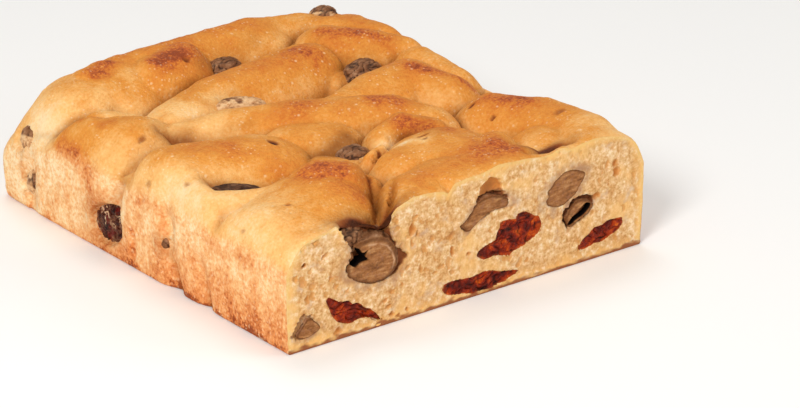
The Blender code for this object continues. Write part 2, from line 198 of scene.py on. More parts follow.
def ovals(x, y, listed):
    # for each oval in turn (middle, half sizes, turn and what else it has), the distance from its
    # middle, which is 1 on its edge, and what else it has
    for px, py, halfX, halfY, turn, *rest in listed:
        u, v = turned(x, y, (px, py), turn)
        yield np.hypot(u / halfX, v / halfY), *rest


def most(values):
    # the largest of several arrays, place by place
    return np.max(list(values), axis=0)


def risenHeight(x, y):
    # softened highest of all ridges, less creases, folds, hollows and the dents round the olives
    caps = [np.full_like(x, form["valleyFloor"])]
    for *ends, half, top0, top1 in form["ridges"]:
        t, off = alongLine(x, y, *ends)
        caps.append(top0 + t * (top1 - top0) - form["ridgeDrop"] * (off / half) ** form["ridgePower"])
    caps = np.array(caps)
    highest = caps.max(axis=0)
    soft = form["creaseSoftness"]
    height = highest + soft * np.log(np.exp((caps - highest) / soft).sum(axis=0))
    for fall in bells(x, y, form["creases"] + form["folds"]):
        height = height - fall
    for reach, dent in ovals(x, y, dents):
        height = height - dent * np.exp(-(reach**3))
    for reach, depth, edge in ovals(x, y, form["hollows"]):
        height = height - depth * (1 - smooth(reach, edge, 1.1))
    return np.maximum(height, form["hollowFloor"])


def doughHeight(x, y):
    # the risen dough, drawn to the measured edge of the cut by exp(-(distance / drawnBack)^2)
    across, edge = np.array(form["cutEdge"]).T
    spread = np.linspace(across[0], across[-1], 601)
    lift = np.interp(spread, across, edge) - risenHeight(spread, np.full_like(spread, cutY))
    near = np.exp(-(((y - cutY) / form["drawnBack"]) ** 2))
    return np.maximum(risenHeight(x, y) + np.interp(x, spread, lift) * near, form["hollowFloor"])


def crevice(x, y, reach):
    # how far the dough lies under the mean of four places round it: above 0 where ridges meet
    around = [doughHeight(x + dx, y + dy) for dx, dy in ((reach, 0), (-reach, 0), (0, reach), (0, -reach))]
    return (sum(around) / 4 - doughHeight(x, y)).clip(0, None)


def outline(s, roundness):
    # plan for s from 0 to 3: left wall, back wall, right wall, with arcs at the back corners whose
    # radii grow with roundness. Gives x, y, the inward normal and the length walked.
    rLeft = form["leftCorner"][0] + form["leftCorner"][1] * roundness
    rRight = form["rightCorner"][0] + form["rightCorner"][1] * roundness
    quarter = math.pi / 2
    leftEnd = loafLength - rLeft
    backStart = leftEnd + rLeft * quarter
    backEnd = backStart + loafWidth - rLeft - rRight
    rightStart = backEnd + rRight * quarter
    whole = rightStart + loafLength - rRight
    marks = [0, (leftEnd + backStart) / 2, (backEnd + rightStart) / 2, whole]
    walked = np.interp(s, [0, 1, 2, 3], marks)
    first = np.clip((walked - leftEnd) / rLeft, 0, quarter)
    second = np.clip((walked - backEnd) / rRight, 0, quarter)
    x = -loafWidth / 2 + rLeft * (1 - np.cos(first)) + rRight * np.sin(second)
    x = x + np.clip(walked, backStart, backEnd) - backStart
    y = cutY + np.clip(walked, 0, leftEnd) + rLeft * np.sin(first) - rRight * (1 - np.cos(second))
    y = y - np.clip(walked - rightStart, 0, None)
    return x, y, np.cos(first + second), -np.sin(first + second), walked


def grooveDepth(y, z):
    # sum of the grooves in the left wall, each a bell curve across a slanted line
    depth = np.zeros_like(y)
    for yTop, yFoot, half, deep, bottom, top in form["wallGrooves"]:
        t = np.clip((z - bottom) / (top - bottom), 0, 1)
        off = (y - yFoot - (yTop - yFoot) * t) / half
        fade = np.clip((top + 6 - z) / 6, 0, 1) * np.clip((z - bottom + 6) / 6, 0, 1)
        depth = depth + deep * fade * np.exp(-(off**2))
    return depth


def bowls(a, b, places, halves, turns, depths, power=0.5):
    # deepest of many oval bowls over the points (a, b): depth * (1 - r^2)^power inside each oval
    order = np.argsort(a.ravel())
    aSorted, bSorted = a.ravel()[order], b.ravel()[order]
    found = np.zeros(a.size)
    reach = halves.max(axis=1)
    firsts = np.searchsorted(aSorted, places[:, 0] - reach)
    lasts = np.searchsorted(aSorted, places[:, 0] + reach)
    for place, half, turn, depth, first, last in zip(places, halves, turns, depths, firsts, lasts):
        u, v = turned(aSorted[first:last], bSorted[first:last], place, turn)
        inside = np.clip(1 - (u / half[0]) ** 2 - (v / half[1]) ** 2, 0, 1)
        here = found[first:last]
        np.maximum(here, depth * inside**power, out=here)
    result = np.zeros(a.size)
    result[order] = found
    return result.reshape(a.shape)


def scatter(rng, box, count, sizes, stretch, lean, sway, depth):
    # places, half sizes, turns and depths of many ovals: sizes fall off from small to large, and
    # depth is a share of the size
    places = rng.uniform((box[0], box[2]), (box[1], box[3]), (count, 2))
    size = sizes[0] + (sizes[1] - sizes[0]) * rng.random(count) ** 2.2
    long = size * rng.uniform(*stretch, count)
    turns = lean + rng.normal(0, sway, count)
    return places, np.stack([size, long], axis=1), turns, size * rng.uniform(*depth, count)


def coons(front, back, left, right):
    # points spread between four edge curves that share their corners
    u = np.linspace(0, 1, len(front))[:, None, None]
    v = np.linspace(0, 1, len(left))[None, :, None]
    across = (1 - v) * front[:, None] + v * back[:, None]
    along = (1 - u) * left[None] + u * right[None]
    corners = (1 - u) * (1 - v) * front[0] + u * (1 - v) * front[-1]
    corners = corners + (1 - u) * v * back[0] + u * v * back[-1]
    return across + along - corners


def relaxed(grid, rounds):
    # each inner point moves to the middle of its four neighbours, again and again
    for _ in range(rounds):
        around = grid[:-2, 1:-1] + grid[2:, 1:-1] + grid[1:-1, :-2] + grid[1:-1, 2:]
        grid[1:-1, 1:-1] = around / 4
    return grid


def ring(points):
    # a loop of points with its first point again at the end
    return np.concatenate([points, points[:1]])


class Patches:
    # grids of points with a value for each named attribute, welded where points are the same

    def __init__(self, *attributes):
        self.attributes = attributes
        self.points, self.values, self.faces, self.count = [], [], [], 0

    def add(self, points, flip=False, **values):
        rows, columns = points.shape[:2]
        first = self.count + np.arange(rows - 1)[:, None] * columns + np.arange(columns - 1)
        quads = np.stack([first, first + 1, first + columns + 1, first + columns], axis=-1).reshape(-1, 4)
        quads = quads[:, ::-1] if flip else quads
        self.faces += [quads[:, [0, 1, 2]], quads[:, [0, 2, 3]]]
        self.points.append(points.reshape(-1, 3))
        size = (rows, columns)
        given = [np.broadcast_to(values.get(name, 0.0), size).ravel() for name in self.attributes]
        self.values.append(np.stack(given, axis=-1))
        self.count += rows * columns

    def make(self, name, sharp=58):
        # one closed mesh object: doubles merged, faces with no area dropped, faces pointing out
        points, values = np.concatenate(self.points), np.concatenate(self.values)
        keys = np.round(points, 5)
        _, kept, place = np.unique(keys, axis=0, return_index=True, return_inverse=True)
        faces = place.ravel()[np.concatenate(self.faces)]
        points, values = points[kept], values[kept]
        a, b, c = faces.T
        faces = faces[(a != b) & (b != c) & (c != a)]
        corners = points[faces]
        volume = np.einsum("ij,ij->", corners[:, 0], np.cross(corners[:, 1], corners[:, 2]))
        if volume < 0:
            faces = faces[:, ::-1]
        mesh = bpy.data.meshes.new(name)
        mesh.vertices.add(len(points))
        mesh.vertices.foreach_set("co", (points * mm).astype(np.float32).ravel())
        mesh.loops.add(faces.size)
        mesh.loops.foreach_set("vertex_index", faces.astype(np.int32).ravel())
        mesh.polygons.add(len(faces))
        mesh.polygons.foreach_set("loop_start", np.arange(len(faces), dtype=np.int32) * 3)
        mesh.update(calc_edges=True)
        for n, attribute in enumerate(self.attributes):
            layer = mesh.attributes.new(attribute, "FLOAT", "POINT")
            layer.data.foreach_set("value", values[:, n].astype(np.float32))
        mesh.shade_smooth()
        mesh.set_sharp_from_angle(angle=math.radians(sharp))
        made = bpy.data.objects.new(name, mesh)
        bpy.context.scene.collection.objects.link(made)
        print(name, len(points), "points,", len(faces), "triangles")
        return made


def paint(red, green, blue):
    # display values from 0 to 255 as the linear colour that a shader takes
    linear = (((c / 255 + 0.055) / 1.055) ** 2.4 if c > 10 else c / 3295 for c in (red, green, blue))
    return (*linear, 1)


class Shade:
    # one socket of a material's nodes. Arithmetic on it adds Math nodes, node() adds any other.

    def __init__(self, tree, socket=None):
        self.tree, self.socket = tree, socket

    def node(self, kind, settings=None, values=None, out=0):
        made = self.tree.nodes.new(kind)
        for name, setting in (settings or {}).items():
            if name == "stops":
                stops = made.color_ramp.elements
                while len(stops) < len(setting):
                    stops.new(1.0)
                for stop, (place, colour) in zip(stops, setting):
                    stop.position, stop.color = place, paint(*colour)
            else:
                setattr(made, name, setting)
        for name, value in (values or {}).items():
            if isinstance(value, Shade):
                self.tree.links.new(value.socket, made.inputs[name])
            else:
                made.inputs[name].default_value = value
        return Shade(self.tree, made.outputs[out] if made.outputs else None)

    def maths(self, operation, first, second=0.0):
        return self.node("ShaderNodeMath", {"operation": operation}, {0: first, 1: second})

    def __add__(self, other):
        return self.maths("ADD", self, other)

    def __radd__(self, other):
        return self.maths("ADD", other, self)

    def __sub__(self, other):
        return self.maths("SUBTRACT", self, other)

    def __rsub__(self, other):
        return self.maths("SUBTRACT", other, self)

    def __mul__(self, other):
        return self.maths("MULTIPLY", self, other)

    def __rmul__(self, other):
        return self.maths("MULTIPLY", other, self)

    def held(self):
        # kept between 0 and 1
        return self.node("ShaderNodeClamp", None, {"Value": self})

    def between(self, start, end):
        # 0 before start, 1 after end, smooth between them
        limits = {"Value": self, "From Min": start, "From Max": end}
        return self.node("ShaderNodeMapRange", {"interpolation_type": "SMOOTHSTEP"}, limits)

    def attribute(self, name):
        return self.node("ShaderNodeAttribute", {"attribute_name": name}, out="Fac")

    def place(self, size, stretch):
        # Object coordinates in units of that many millimetres
        given = {
            "Vector": self.node("ShaderNodeTexCoord", out="Object"),
            "Scale": tuple(1 / (size * mm * k) for k in stretch),
        }
        return self.node("ShaderNodeMapping", None, given)

    def noise(self, size, detail=2.0, stretch=(1, 1, 1)):
        # noise about zero, from about -0.5 to 0.5, with features of that many millimetres
        given = {"Vector": self.place(size, stretch), "Scale": 1.0, "Detail": detail, "Roughness": 0.55}
        return self.node("ShaderNodeTexNoise", None, given) - 0.5

    def cells(self, size, stretch=(1, 1, 1)):
        # distance to the nearest of scattered points, 0 at each point
        given = {"Vector": self.place(size, stretch), "Scale": 1.0}
        return self.node("ShaderNodeTexVoronoi", None, given)

    def ramp(self, stops):
        return self.node("ShaderNodeValToRGB", {"stops": stops}, {"Fac": self})

    def tint(self, colour, amount):
        # this colour mixed by an amount with another, a Shade or display values
        other = colour if isinstance(colour, Shade) else paint(*colour)
        given = {0: amount, 6: self, 7: other}
        return self.node("ShaderNodeMix", {"data_type": "RGBA"}, given, out=2)

    def bump(self, height, depth):
        # a Bump node whose full height is depth millimetres
        given = {"Height": height, "Distance": depth * mm, "Strength": 1.0}
        return self.node("ShaderNodeBump", None, given)


def newMaterial(name):
    made = bpy.data.materials.new(name)
    made.use_nodes = True
    made.node_tree.nodes.clear()
    return made, Shade(made.node_tree)


def finishMaterial(start, colour, roughness, normal, constants=None):
    # the Principled shader: colour, roughness and normal vary, every other value is constant
    given = {"Base Color": colour, "Roughness": roughness, "Normal": normal, **(constants or {})}
    shader = start.node("ShaderNodeBsdfPrincipled", None, given)
    start.node("ShaderNodeOutputMaterial", None, {"Surface": shader})


def dress(piece, material, slot, *nodes):
    # gives a finished piece its material and body, and hides the nodes that it stands for
    piece.data.materials.append(material)
    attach(piece, "root")
    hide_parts(*nodes)


crust = {
    "lengthFaces": 250,
    "widthFaces": 172,
    "footRows": 4,
    "wallRows": 32,
    "shoulderRows": 25,
    "bottomRings": 4,
    "bottomFrontFaces": 110,
    "rimWidth": 0.9,
    "trayDepth": 6.4,
    "trayRoom": 1.6,         # how far under the dough the tray's back stays
    "relaxing": 1200,        # rounds that even out the top's grid
    "creaseReach": 2.0,      # how far from a crease the dough starts to fall into it
    "deepen": 1.3,           # how much deeper the skin's creases are than the dough's
    "valleyReach": 7.0,
    "lidGap": 0.40,          # how far the crust's front edge lies behind the cut, under the crumb
    "lidFade": 2.0,          # and how soon behind the cut that ends
    "notchBack": 3.8,        # the same behind the largest cut olive
    "notchFade": 5.0,
    "notchEdge": (0.86, 0.96),       # where it ends, as a share of the gap there
    "notchRight": (-35.6, -33.6),    # and in x
    "bottomBake": 0.86,
    "spineZ": 17.0,          # the tray's back closes on this line
    "spineHalf": 58.0,
    "waves": [(16.0, 0.35), (6.0, 0.22), (2.6, 0.10)],       # size and height of the top's unevenness
    "sponge": [(8.0, 0.55), (2.6, 0.28), (1.3, 0.26)],       # the same for the walls
    # count, half width, length to width, lean and its spread, depth to width
    "blisters": (420, (0.7, 1.9), (1, 1.6), 0, 60, (0.08, 0.2)),
    "wallPores": (900, (0.4, 1.0), (1.0, 1.6), 0, 40, (0.3, 0.6)),
    # hollows in the left wall: y, z, half sizes, turn, depth, where the edge starts
    "wallHollows": [
        (18.2, 10.4, 10.4, 7.4, -14, 3.4, 0.84), (1.7, 8.8, 2.6, 7.6, 0, 1.8, 0.5),
        (-17.4, 21.4, 3.6, 5.6, 0, 1.8, 0.3), (-17.2, 15.0, 2.8, 2.6, 0, 2.0, 0.7),
        (68.0, 9.8, 2.4, 4.8, 42, 1.8, 0.6), (72.4, 24.6, 4.6, 4.4, 0, 2.0, 0.7),
        (12.5, 22.5, 3.5, 5.0, 0, 0.6, 0.2),
    ],
    # narrow folds in the left wall: y, z to y, z, half width, depth at each end
    "wallFolds": [
        (-23.4, 27, -20.9, 20.7, 1.2, 0.2, 0.9), (-20.9, 20.7, -18.1, 11, 1.1, 0.9, 1.0),
        (-18.1, 11, -22.8, 4.3, 1.2, 1.0, 1.8), (-22.8, 4.3, -24.6, 0, 1.6, 1.8, 3.2),
        (-39.5, 12.8, -40.4, 6.8, 1.1, 0.2, 0.9), (-40.4, 6.8, -41.3, 0, 1.5, 0.9, 2.6),
        (3, 37, 9.5, 27.6, 2.2, 1.4, 1.8), (9.5, 27.6, 13.6, 20, 2.0, 1.8, 1.1),
        (64.5, 28, 56, 31, 1.2, 0.5, 0.9),
    ],
    # browned places in the left wall: y, z, half sizes, turn, strength
    "wallBrowned": [
        (3.0, 9.5, 2.6, 8.0, 0, 0.26), (22, 14, 5.0, 8.0, 20, 0.14), (54, 18, 1.8, 6.0, 10, 0.20),
        (47, 17, 1.5, 6.0, 0, 0.14), (52, 9, 3.0, 4.0, 0, 0.12), (-14, 19, 2.6, 6.0, 0, 0.14),
        (-50, 8, 9.0, 5.0, 0, 0.14), (-70, 7, 8.0, 5.0, 0, 0.16), (-33, 16, 2.4, 3.0, 0, 0.12),
        (69, 13, 2.5, 4.0, 0, 0.16), (30, 3, 9.0, 3.0, 0, 0.10), (-4.5, 33.9, 1.0, 1.2, 0, 0.30),
        (38, 9, 14.0, 8.0, 0, 0.14), (-2, 18, 6.0, 7.0, 0, 0.10),
    ],
    # from 0 pale to 1 dark brown
    "topBake": 0.50,
    "wallBake": 0.16,
    "rightWallBake": 0.18,   # how much browner the right wall is
    "bakeNoise": [(11.0, 0.09, 80), (4.0, 0.05, 81), (27.0, 0.08, 87)],       # size, amount, seed
    # browned places on the top: from, to, half width, strength
    "browned": [
        (-46, 65, -39, 68.5, 4.4, 0.42), (-24, 59.4, -13, 61.6, 4.0, 0.42), (18, 77, 31, 68, 5.0, 0.10),
        (-30, 78, 5, 80, 6.0, 0.05), (43, 53, 52, 43.5, 3.6, 0.20), (52, 43.5, 58, 35, 3.0, 0.16),
        (25, 43.5, 28, 38, 4.6, 0.26), (48.5, 6, 60, -11, 2.6, 0.22), (-9, 5, 0, -3, 4.0, 0.14),
        (15, -12, 21, -19, 4.2, 0.26), (11, -33, 19, -40, 3.8, 0.24), (18, -42, 18, -52, 3.6, 0.12),
        (20.5, -71, 23, -79, 4.2, 0.23), (4, -66, 12, -75, 8.0, 0.10), (-12, -78, 8, -79, 5.0, 0.14),
        (-63, -77, -40, -72, 7.0, 0.20), (-56, 54, -44, 50, 6.0, 0.08), (52, -31, 57, -42, 4.0, 0.18),
        (60, -46, 62, -64, 5.0, 0.08), (-41, -54, -33, -58, 4.6, 0.30), (-63, 47, -65, 30, 4.2, 0.26),
        (-30, -66, -24, -60, 5.0, 0.08), (-28, 36, -12, 40, 5.0, 0.08), (-22, 4, -10, -2, 6.0, 0.14),
        (24, 22, 40, 18, 6.0, 0.10), (-62, -8, -48, -14, 9.0, 0.16), (-48, -22, -40, -34, 8.0, 0.12),
        (-56, 26, -50, 14, 8.0, 0.10), (0, 30, 14, 34, 8.0, 0.08), (24, -2, 44, 2, 8.0, 0.08),
    ],
    # pale places on the top
    "paled": [
        (-50, 48, -24, 8, 8.0, 0.16), (-36, -14, -24, -6, 6.5, 0.16), (-70, -30, -50, -28, 7.0, 0.10),
        (-69, -54, -67, -74, 6.0, 0.10), (8, 28, 30, 30, 7.0, 0.10), (-70, 60, -66, 40, 7.0, 0.10),
        (36, -76, 38, -68, 5.0, 0.12), (30, 62, 44, 66, 6.0, 0.13), (-14, 22, 2, 14, 4.0, 0.08),
        (64, -70, 68, -84, 6.0, 0.16), (70, -20, 72, -60, 5.0, 0.10), (-20, 32, -14, 30, 3.5, 0.24),
        (-70, -16, -66, -40, 6.0, 0.10), (-7.5, -38.6, 4, -38.8, 1.7, 0.36), (-1, -43, 3, -46.5, 1.6, 0.24),
        (3, -46.5, 7.4, -52.5, 1.6, 0.24), (-22, -77, -26, -80, 1.6, 0.08), (-44, 70, -30, 62, 6.0, 0.14),
        (-52, 16, -38, 10, 6.0, 0.14), (-71, 64, -62, 54, 7.0, 0.10), (4, -4, 11, -10, 3.5, 0.08),
    ],
    # browned edge along the left wall: y, z to y, z, half width, strength
    "edgeLines": [
        (-84, 27.0, -66, 26.0, 3.6, 0.16), (-66, 26.0, -45, 26.0, 4.0, 0.20),
        (-40, 27.0, -22, 26.0, 3.0, 0.10), (-20, 27.5, -4, 26.5, 2.8, 0.18), (-4, 26.5, 6, 24.5, 2.6, 0.14),
        (24, 15.0, 27, 25.0, 5.0, 0.24), (27, 25.0, 36, 30.5, 5.4, 0.25), (36, 30.5, 46, 31.5, 4.6, 0.24),
        (46, 31.5, 44, 38.0, 4.0, 0.24), (8, 6, 24, 3, 5.0, 0.20), (-30, 4, -10, 5, 5.0, 0.14),
        (12, 25.0, 18, 20.0, 4.0, 0.14),
    ],
    # painted shadows on the top, dark brown, in the notch, a dent, a crack and a slit: middle, half sizes,
    # turn, amount
    "paintedShadows": [
        (-41.0, -87.0, 12.5, 7.0, 0, 1.0), (-35.0, -86.5, 4.8, 6.5, 0, 1.0),
        (-32.0, -84.0, 2.6, 8.0, -30, 0.5), (38.0, -78.5, 8.5, 3.6, -4, 0.9),
        (-46.0, 12.6, 6.5, 1.8, -34, 0.3), (-57.0, -33.0, 6.5, 2.6, -38, 0.8),
    ],
    # grey brown painted shade in the left wall, round the pieces in its hollows: y, z, half sizes, turn,
    # amount
    "wallShadows": [
        (19.6, 11.0, 12.6, 9.6, -14, 0.16), (26.0, 13.0, 3.5, 8.0, 0, 0.16), (-14.4, 14.0, 4.0, 5.0, 0, 0.14),
        (65.0, 11.0, 4.8, 8.4, -24, 0.08), (68.5, 23.0, 5.5, 6.2, 0, 0.10),
    ],
    # low places in painted golden brown shade: from, to, half width, amount
    "shaded": [
        (-24, -60, -31, -80, 3.6, 0.34), (-70, 7, -58, 9, 3.5, 0.4), (-58, 9, -46, 5, 3.0, 0.35),
        (12, -50, 20, -38, 5.0, 0.2), (30, -78, 46, -79, 3.5, 0.45), (-8, 56, 2, 59, 3.0, 0.5),
        (30, 20, 36, 27, 3.5, 0.45), (-19, -30, -5, -26.0, 4.2, 1.1), (44, -24, 54, -20, 4.0, 0.25),
        (30, -40, 38, -54, 4.0, 0.25), (10, 60, 22, 64, 4.0, 0.25), (-63, -28, -49, -40, 3.4, 0.5),
        (-53, 16, -44, 11.5, 3.0, 0.8), (-38, 8, -24, 3, 2.4, 0.25), (34, 28, 37, 30, 3.0, 0.5),
    ],
    # places in the folds that lie in the light: from, to, half width, amount
    "lit": [(-78, 3, -67, 7, 7.0, 0.7), (-78, -50, -66, -46.5, 4.5, 0.75)],
    # small dark holes and flecks: x, y, half sizes, turn, depth, darkness
    "flecks": [
        (-32.8, -21.8, 1.5, 2.0, 0, 1.0, 1.0), (46.5, -28.6, 1.2, 0.8, 10, 0.7, 0.9),
        (46.7, -39.8, 0.7, 0.6, 0, 0.6, 0.8), (7.8, -51.7, 0.9, 0.6, 0, 0.4, 0.6),
        (-12.7, 58.1, 1.4, 1.1, 0, 0.9, 0.7), (-13.4, 51.0, 1.0, 0.8, 0, 0.7, 0.8),
        (-5.6, -44.6, 1.0, 0.8, 0, 0.6, 0.9), (-7.6, -46.0, 0.8, 0.6, 0, 0.5, 0.8),
        (-3.4, -40.6, 1.4, 0.6, 30, 0.5, 0.6), (-22.3, -60.5, 2.2, 0.8, 50, 0.7, 0.7),
        (-58.4, -65.3, 0.9, 1.1, 0, 0.5, 0.5), (9.6, -48.6, 2.2, 0.8, 0, 0.6, 0.6),
        (-65.0, 8.0, 1.4, 0.8, 20, 0.8, 0.9), (-73.6, -8.0, 0.4, 1.3, 0, 0.3, 0.5),
        (-69.8, -25.0, 0.6, 1.4, 0, 0.4, 0.32), (-72.7, -60.5, 0.3, 1.1, 0, 0.3, 0.35),
        (-60.8, 14.3, 1.8, 0.7, 10, 0.5, 0.45), (59.4, -59.9, 2.6, 1.6, 20, 0.5, 0.35),
    ],
}


def crustStrip(s):
    # the wall, row by row from the foot to the start of the top. A row is a point a on a quarter
    # circle at the foot and at the shoulder, and a share t of the height between them.
    # Gives points, the outward direction, the length walked and the rise from 0 to 1.
    places, edges, reaches = np.array(form["shoulder"]).T
    edgeZ, roundIn = np.interp(s, places, edges), np.interp(s, places, reaches)
    corner = np.exp(-(((s - 1) / form["cornerReach"]) ** 2))
    foot = form["footRadius"] + (form["cornerFootRadius"] - form["footRadius"]) * corner
    taper, quarter = form["wallTaper"], math.pi / 2
    rows = []        # roundness of the plan, inset, z, rise, angle of the outward direction
    for a in quarter * np.arange(crust["footRows"]) / crust["footRows"]:
        rows.append((0, taper + foot * (1 - math.sin(a)), foot * (1 - math.cos(a)), 0, a - quarter))
    for t in np.arange(crust["wallRows"]) / crust["wallRows"]:
        rows.append((0, taper * (1 - t) ** 2, foot + (edgeZ - foot) * t, 0, 0))
    for a in quarter * np.arange(crust["shoulderRows"] + 1) / crust["shoulderRows"]:
        rows.append((1 - math.cos(a), roundIn * (1 - math.cos(a)), edgeZ, math.sin(a), a))
    points, outward, lengths, rises = [], [], [], []
    for roundness, inset, z, rise, a in rows:
        x, y, nx, ny, walked = outline(s, roundness)
        inset = inset + np.where(s < 0.9, grooveDepth(y, z), 0) * (1 - rise)
        x, y = x + nx * inset, y + ny * inset
        level, upright = -math.cos(a), np.full_like(x, math.sin(a))
        points.append(np.stack([x, y, z + (doughHeight(x, y) - z) * rise], axis=-1))
        outward.append(np.stack([nx * level, ny * level, upright], axis=-1))
        lengths.append(walked)
        rises.append(np.full_like(x, rise))
    return np.array(points), np.array(outward), np.array(lengths), np.array(rises)


def topRelief(points):
    # unevenness of the top, as a function of x and y alone: waves, blisters up, flecks down
    flat = points * (1, 1, 0)
    relief = sum(h * noiseField(flat, size, 40 + n) for n, (size, h) in enumerate(crust["waves"]))
    x, y = points[..., 0], points[..., 1]
    blisters = scatter(np.random.default_rng(5), (-75, 75, cutY, -cutY), *crust["blisters"])
    relief = relief + bowls(x, y, *blisters, 1.0)
    for reach, depth, _ in ovals(x, y, crust["flecks"]):
        relief = relief - depth * np.exp(-(reach**4))
    return relief


def wallRelief(points, walked):
    # unevenness of the walls, always inwards: spongy noise stretched upwards, upright pores and
    # folds, and the hollows of the left wall where they are deeper
    relief = 0
    for n, (size, height) in enumerate(crust["sponge"]):
        spongy = noiseField(points, (size, size, size * 1.15), 60 + n)
        relief = relief - height * (0.8 + 0.8 * spongy).clip(0, 2) / 2
    pores = scatter(np.random.default_rng(8), (0, walked.max(), 0, 40), *crust["wallPores"])
    relief = relief - bowls(walked, points[..., 2], *pores) - wallFold(points)
    return np.where(points[..., 0] < -50, np.minimum(relief, -wallHollow(points)), relief)


def wallFold(points):
    # depth of the left wall's narrow folds, bell curves across slanted lines
    depth = most(bells(points[..., 1], points[..., 2], crust["wallFolds"]))
    return depth * smooth(-points[..., 0], 50, 60)


def wallHollow(points):
    # depth of the left wall's hollows: a flat floor and a smooth edge
    listed = ovals(points[..., 1], points[..., 2], crust["wallHollows"])
    return most(depth * (1 - smooth(reach, edge, 1.08)) for reach, depth, edge in listed)


def topBake(points):
    # how dark the top is baked: high places darker, the left side, the front and the edge of the cut
    # paler, noise, and the listed places. A listed place of distance d, in half widths, adds
    # 0.6 exp(-d^2.4) + 0.4 exp(-(d / 2)^2) times its strength.
    x, y, z = np.moveaxis(points, -1, 0)
    bake = crust["topBake"] + 0.014 * (z - 41.0).clip(-7, 5)
    bake = bake - 0.14 * smooth(-x, 20, 68) - 0.05 * smooth(-y, 50, 86)
    bake = bake - 0.09 * np.exp(-(y - cutY) / 3.5)
    for size, amount, seed in crust["bakeNoise"]:
        bake = bake + amount * noiseField(points, size, seed)
    raggedX, raggedY = (v + 1.6 * noiseField(points, 5.0, seed) for v, seed in ((x, 82), (y, 83)))
    for sign, listed in ((1, crust["browned"]), (-1, crust["paled"])):
        for *ends, half, strength in listed:
            d = alongLine(raggedX, raggedY, *ends)[1] / half
            bake = bake + sign * strength * (0.6 * np.exp(-(d**2.4)) + 0.4 * np.exp(-((d / 2) ** 2)))
    return bake


def wallBake(points):
    # how dark the walls are baked: browner towards the foot and the front, noise, and listed places
    x, y, z = np.moveaxis(points, -1, 0)
    bake = crust["wallBake"] + 0.36 * smooth(-y, -40, 50) * smooth(z, 28, 8) + 0.06 * smooth(z, 9, 1)
    bake = bake + 0.12 * noiseField(points, (8, 8, 14), 84) - 0.02 * np.exp(-(y - cutY) / 5)
    bake = bake + 0.34 * smooth(z + 2.4 * noiseField(points, 4.0, 85), 2.6, 0.2)
    for reach, amount in ovals(y, z, crust["wallBrowned"]):
        bake = bake + amount * np.exp(-(reach**2)) * smooth(-x, 55, 68)
    return np.where(x > 0, bake + crust["rightWallBake"], bake)


def bakeOf(points, rise):
    # the walls' baking at rise 0, the top's above it, and the browned edge between them
    side = 1 - smooth(rise, 0.05, 0.45)
    lines = sum(bells(points[..., 1], points[..., 2], crust["edgeLines"]))
    lines = (lines * smooth(-points[..., 0], 55, 70)).clip(0, 0.45)
    return topBake(points) * (1 - side) + wallBake(points) * side + lines


def darkOf(points):
    # dark marks on the top: the flecks, painted shade on the dough round the olives in the dimples, the
    # listed painted shadows
    x, y = points[..., 0], points[..., 1]
    beds = [(px, py, *half[:2], turn) for px, py, half, turn, *_ in topOlives.values()]
    return most([
        *(amount * np.exp(-(reach**4)) for reach, _, amount in ovals(x, y, crust["flecks"])),
        # painted shade on the dough round each olive in its dent
        *(0.14 * np.exp(-(reach**4)) for (reach,) in ovals(x, y, beds)),
        *(amount * (1 - smooth(reach, 0.4, 1.1)) for reach, amount in ovals(x, y, crust["paintedShadows"])),
    ])


def wallShadowOf(points):
    # grey brown painted shade on the left wall, round the olives and the tomato in it
    listed = ovals(points[..., 1], points[..., 2], crust["wallShadows"])
    return most(amount * np.exp(-(reach**4)) for reach, amount in listed) * smooth(-points[..., 0], 55, 68)


def shadeOf(points):
    # painted shade, golden brown, in the folds, in the listed low places and round the painted shadows
    x, y = points[..., 0], points[..., 1]
    return most([
        *(0.36 * bell for bell in bells(x, y, form["folds"], widen=1.3)),
        *bells(x, y, crust["shaded"]),
        *(amount * (1 - smooth(reach, 0.6, 1.9)) for reach, amount in ovals(x, y, crust["paintedShadows"])),
    ])


def cutLoop(strip, top):
    # the edge of the cut as a loop: up the left, along the top, down the right, back along the foot
    t = np.linspace(0, 1, crust["bottomFrontFaces"] + 1)[1:-1, None]
    foot = strip[0, -1] * (1 - t) + strip[0, 0] * t
    return np.concatenate([strip[:, 0], top[1:-1, 0], strip[::-1, -1], foot])


def insetLoop(loop, amount):
    # moves a loop in the plane of the cut inwards, along normals taken from neighbours two away, and
    # keeps it as high above the floor
    ahead, behind = np.roll(loop, -2, axis=0), np.roll(loop, 2, axis=0)
    along = (ahead - behind)[:, [0, 2]]
    along /= np.linalg.norm(along, axis=1)[:, None] + 1e-9
    inner = loop + amount * np.stack([along[:, 1], 0 * along[:, 0], -along[:, 0]], axis=-1)
    inner[:, 2] = inner[:, 2].clip(amount, None)
    return inner


def underDough(loop, back, room):
    # a loop moved back behind the cut, and down where the dough there is lower
    moved = loop * (1, 0, 1) + (0, cutY + back, 0)
    lowest = doughHeight(moved[:, 0], np.full(len(moved), cutY + back / 2))
    lowest = np.minimum(lowest, doughHeight(moved[:, 0], moved[:, 1]))
    moved[:, 2] = np.minimum(moved[:, 2], lowest - room)
    return moved


def spineOf(loop):
    # the line at mid height that a loop behind the cut closes on
    spine = loop.copy()
    spine[:, 0] = spine[:, 0].clip(-crust["spineHalf"], crust["spineHalf"])
    spine[:, 2] = crust["spineZ"]
    return spine


def drawBack(strip, top):
    # moves the crust's front edge behind the cut by exp(-distance / fade), and further at the notch
    notch = reachIn(top[:, 0, 0], top[:, 0, 2], crumb["gaps"][0])
    behind = (1 - smooth(notch, *crust["notchEdge"])) * (1 - smooth(top[:, 0, 0], *crust["notchRight"]))
    fade = np.exp(-(top[..., 1] - cutY) / crust["notchFade"])
    top[..., 1] += crust["notchBack"] * behind[:, None] * fade
    eighth = crust["lengthFaces"] // 8
    for grid in (strip[:, :eighth], strip[:, -eighth:], top):
        grid[..., 1] += crust["lidGap"] * np.exp(-(grid[..., 1] - cutY) / crust["lidFade"])


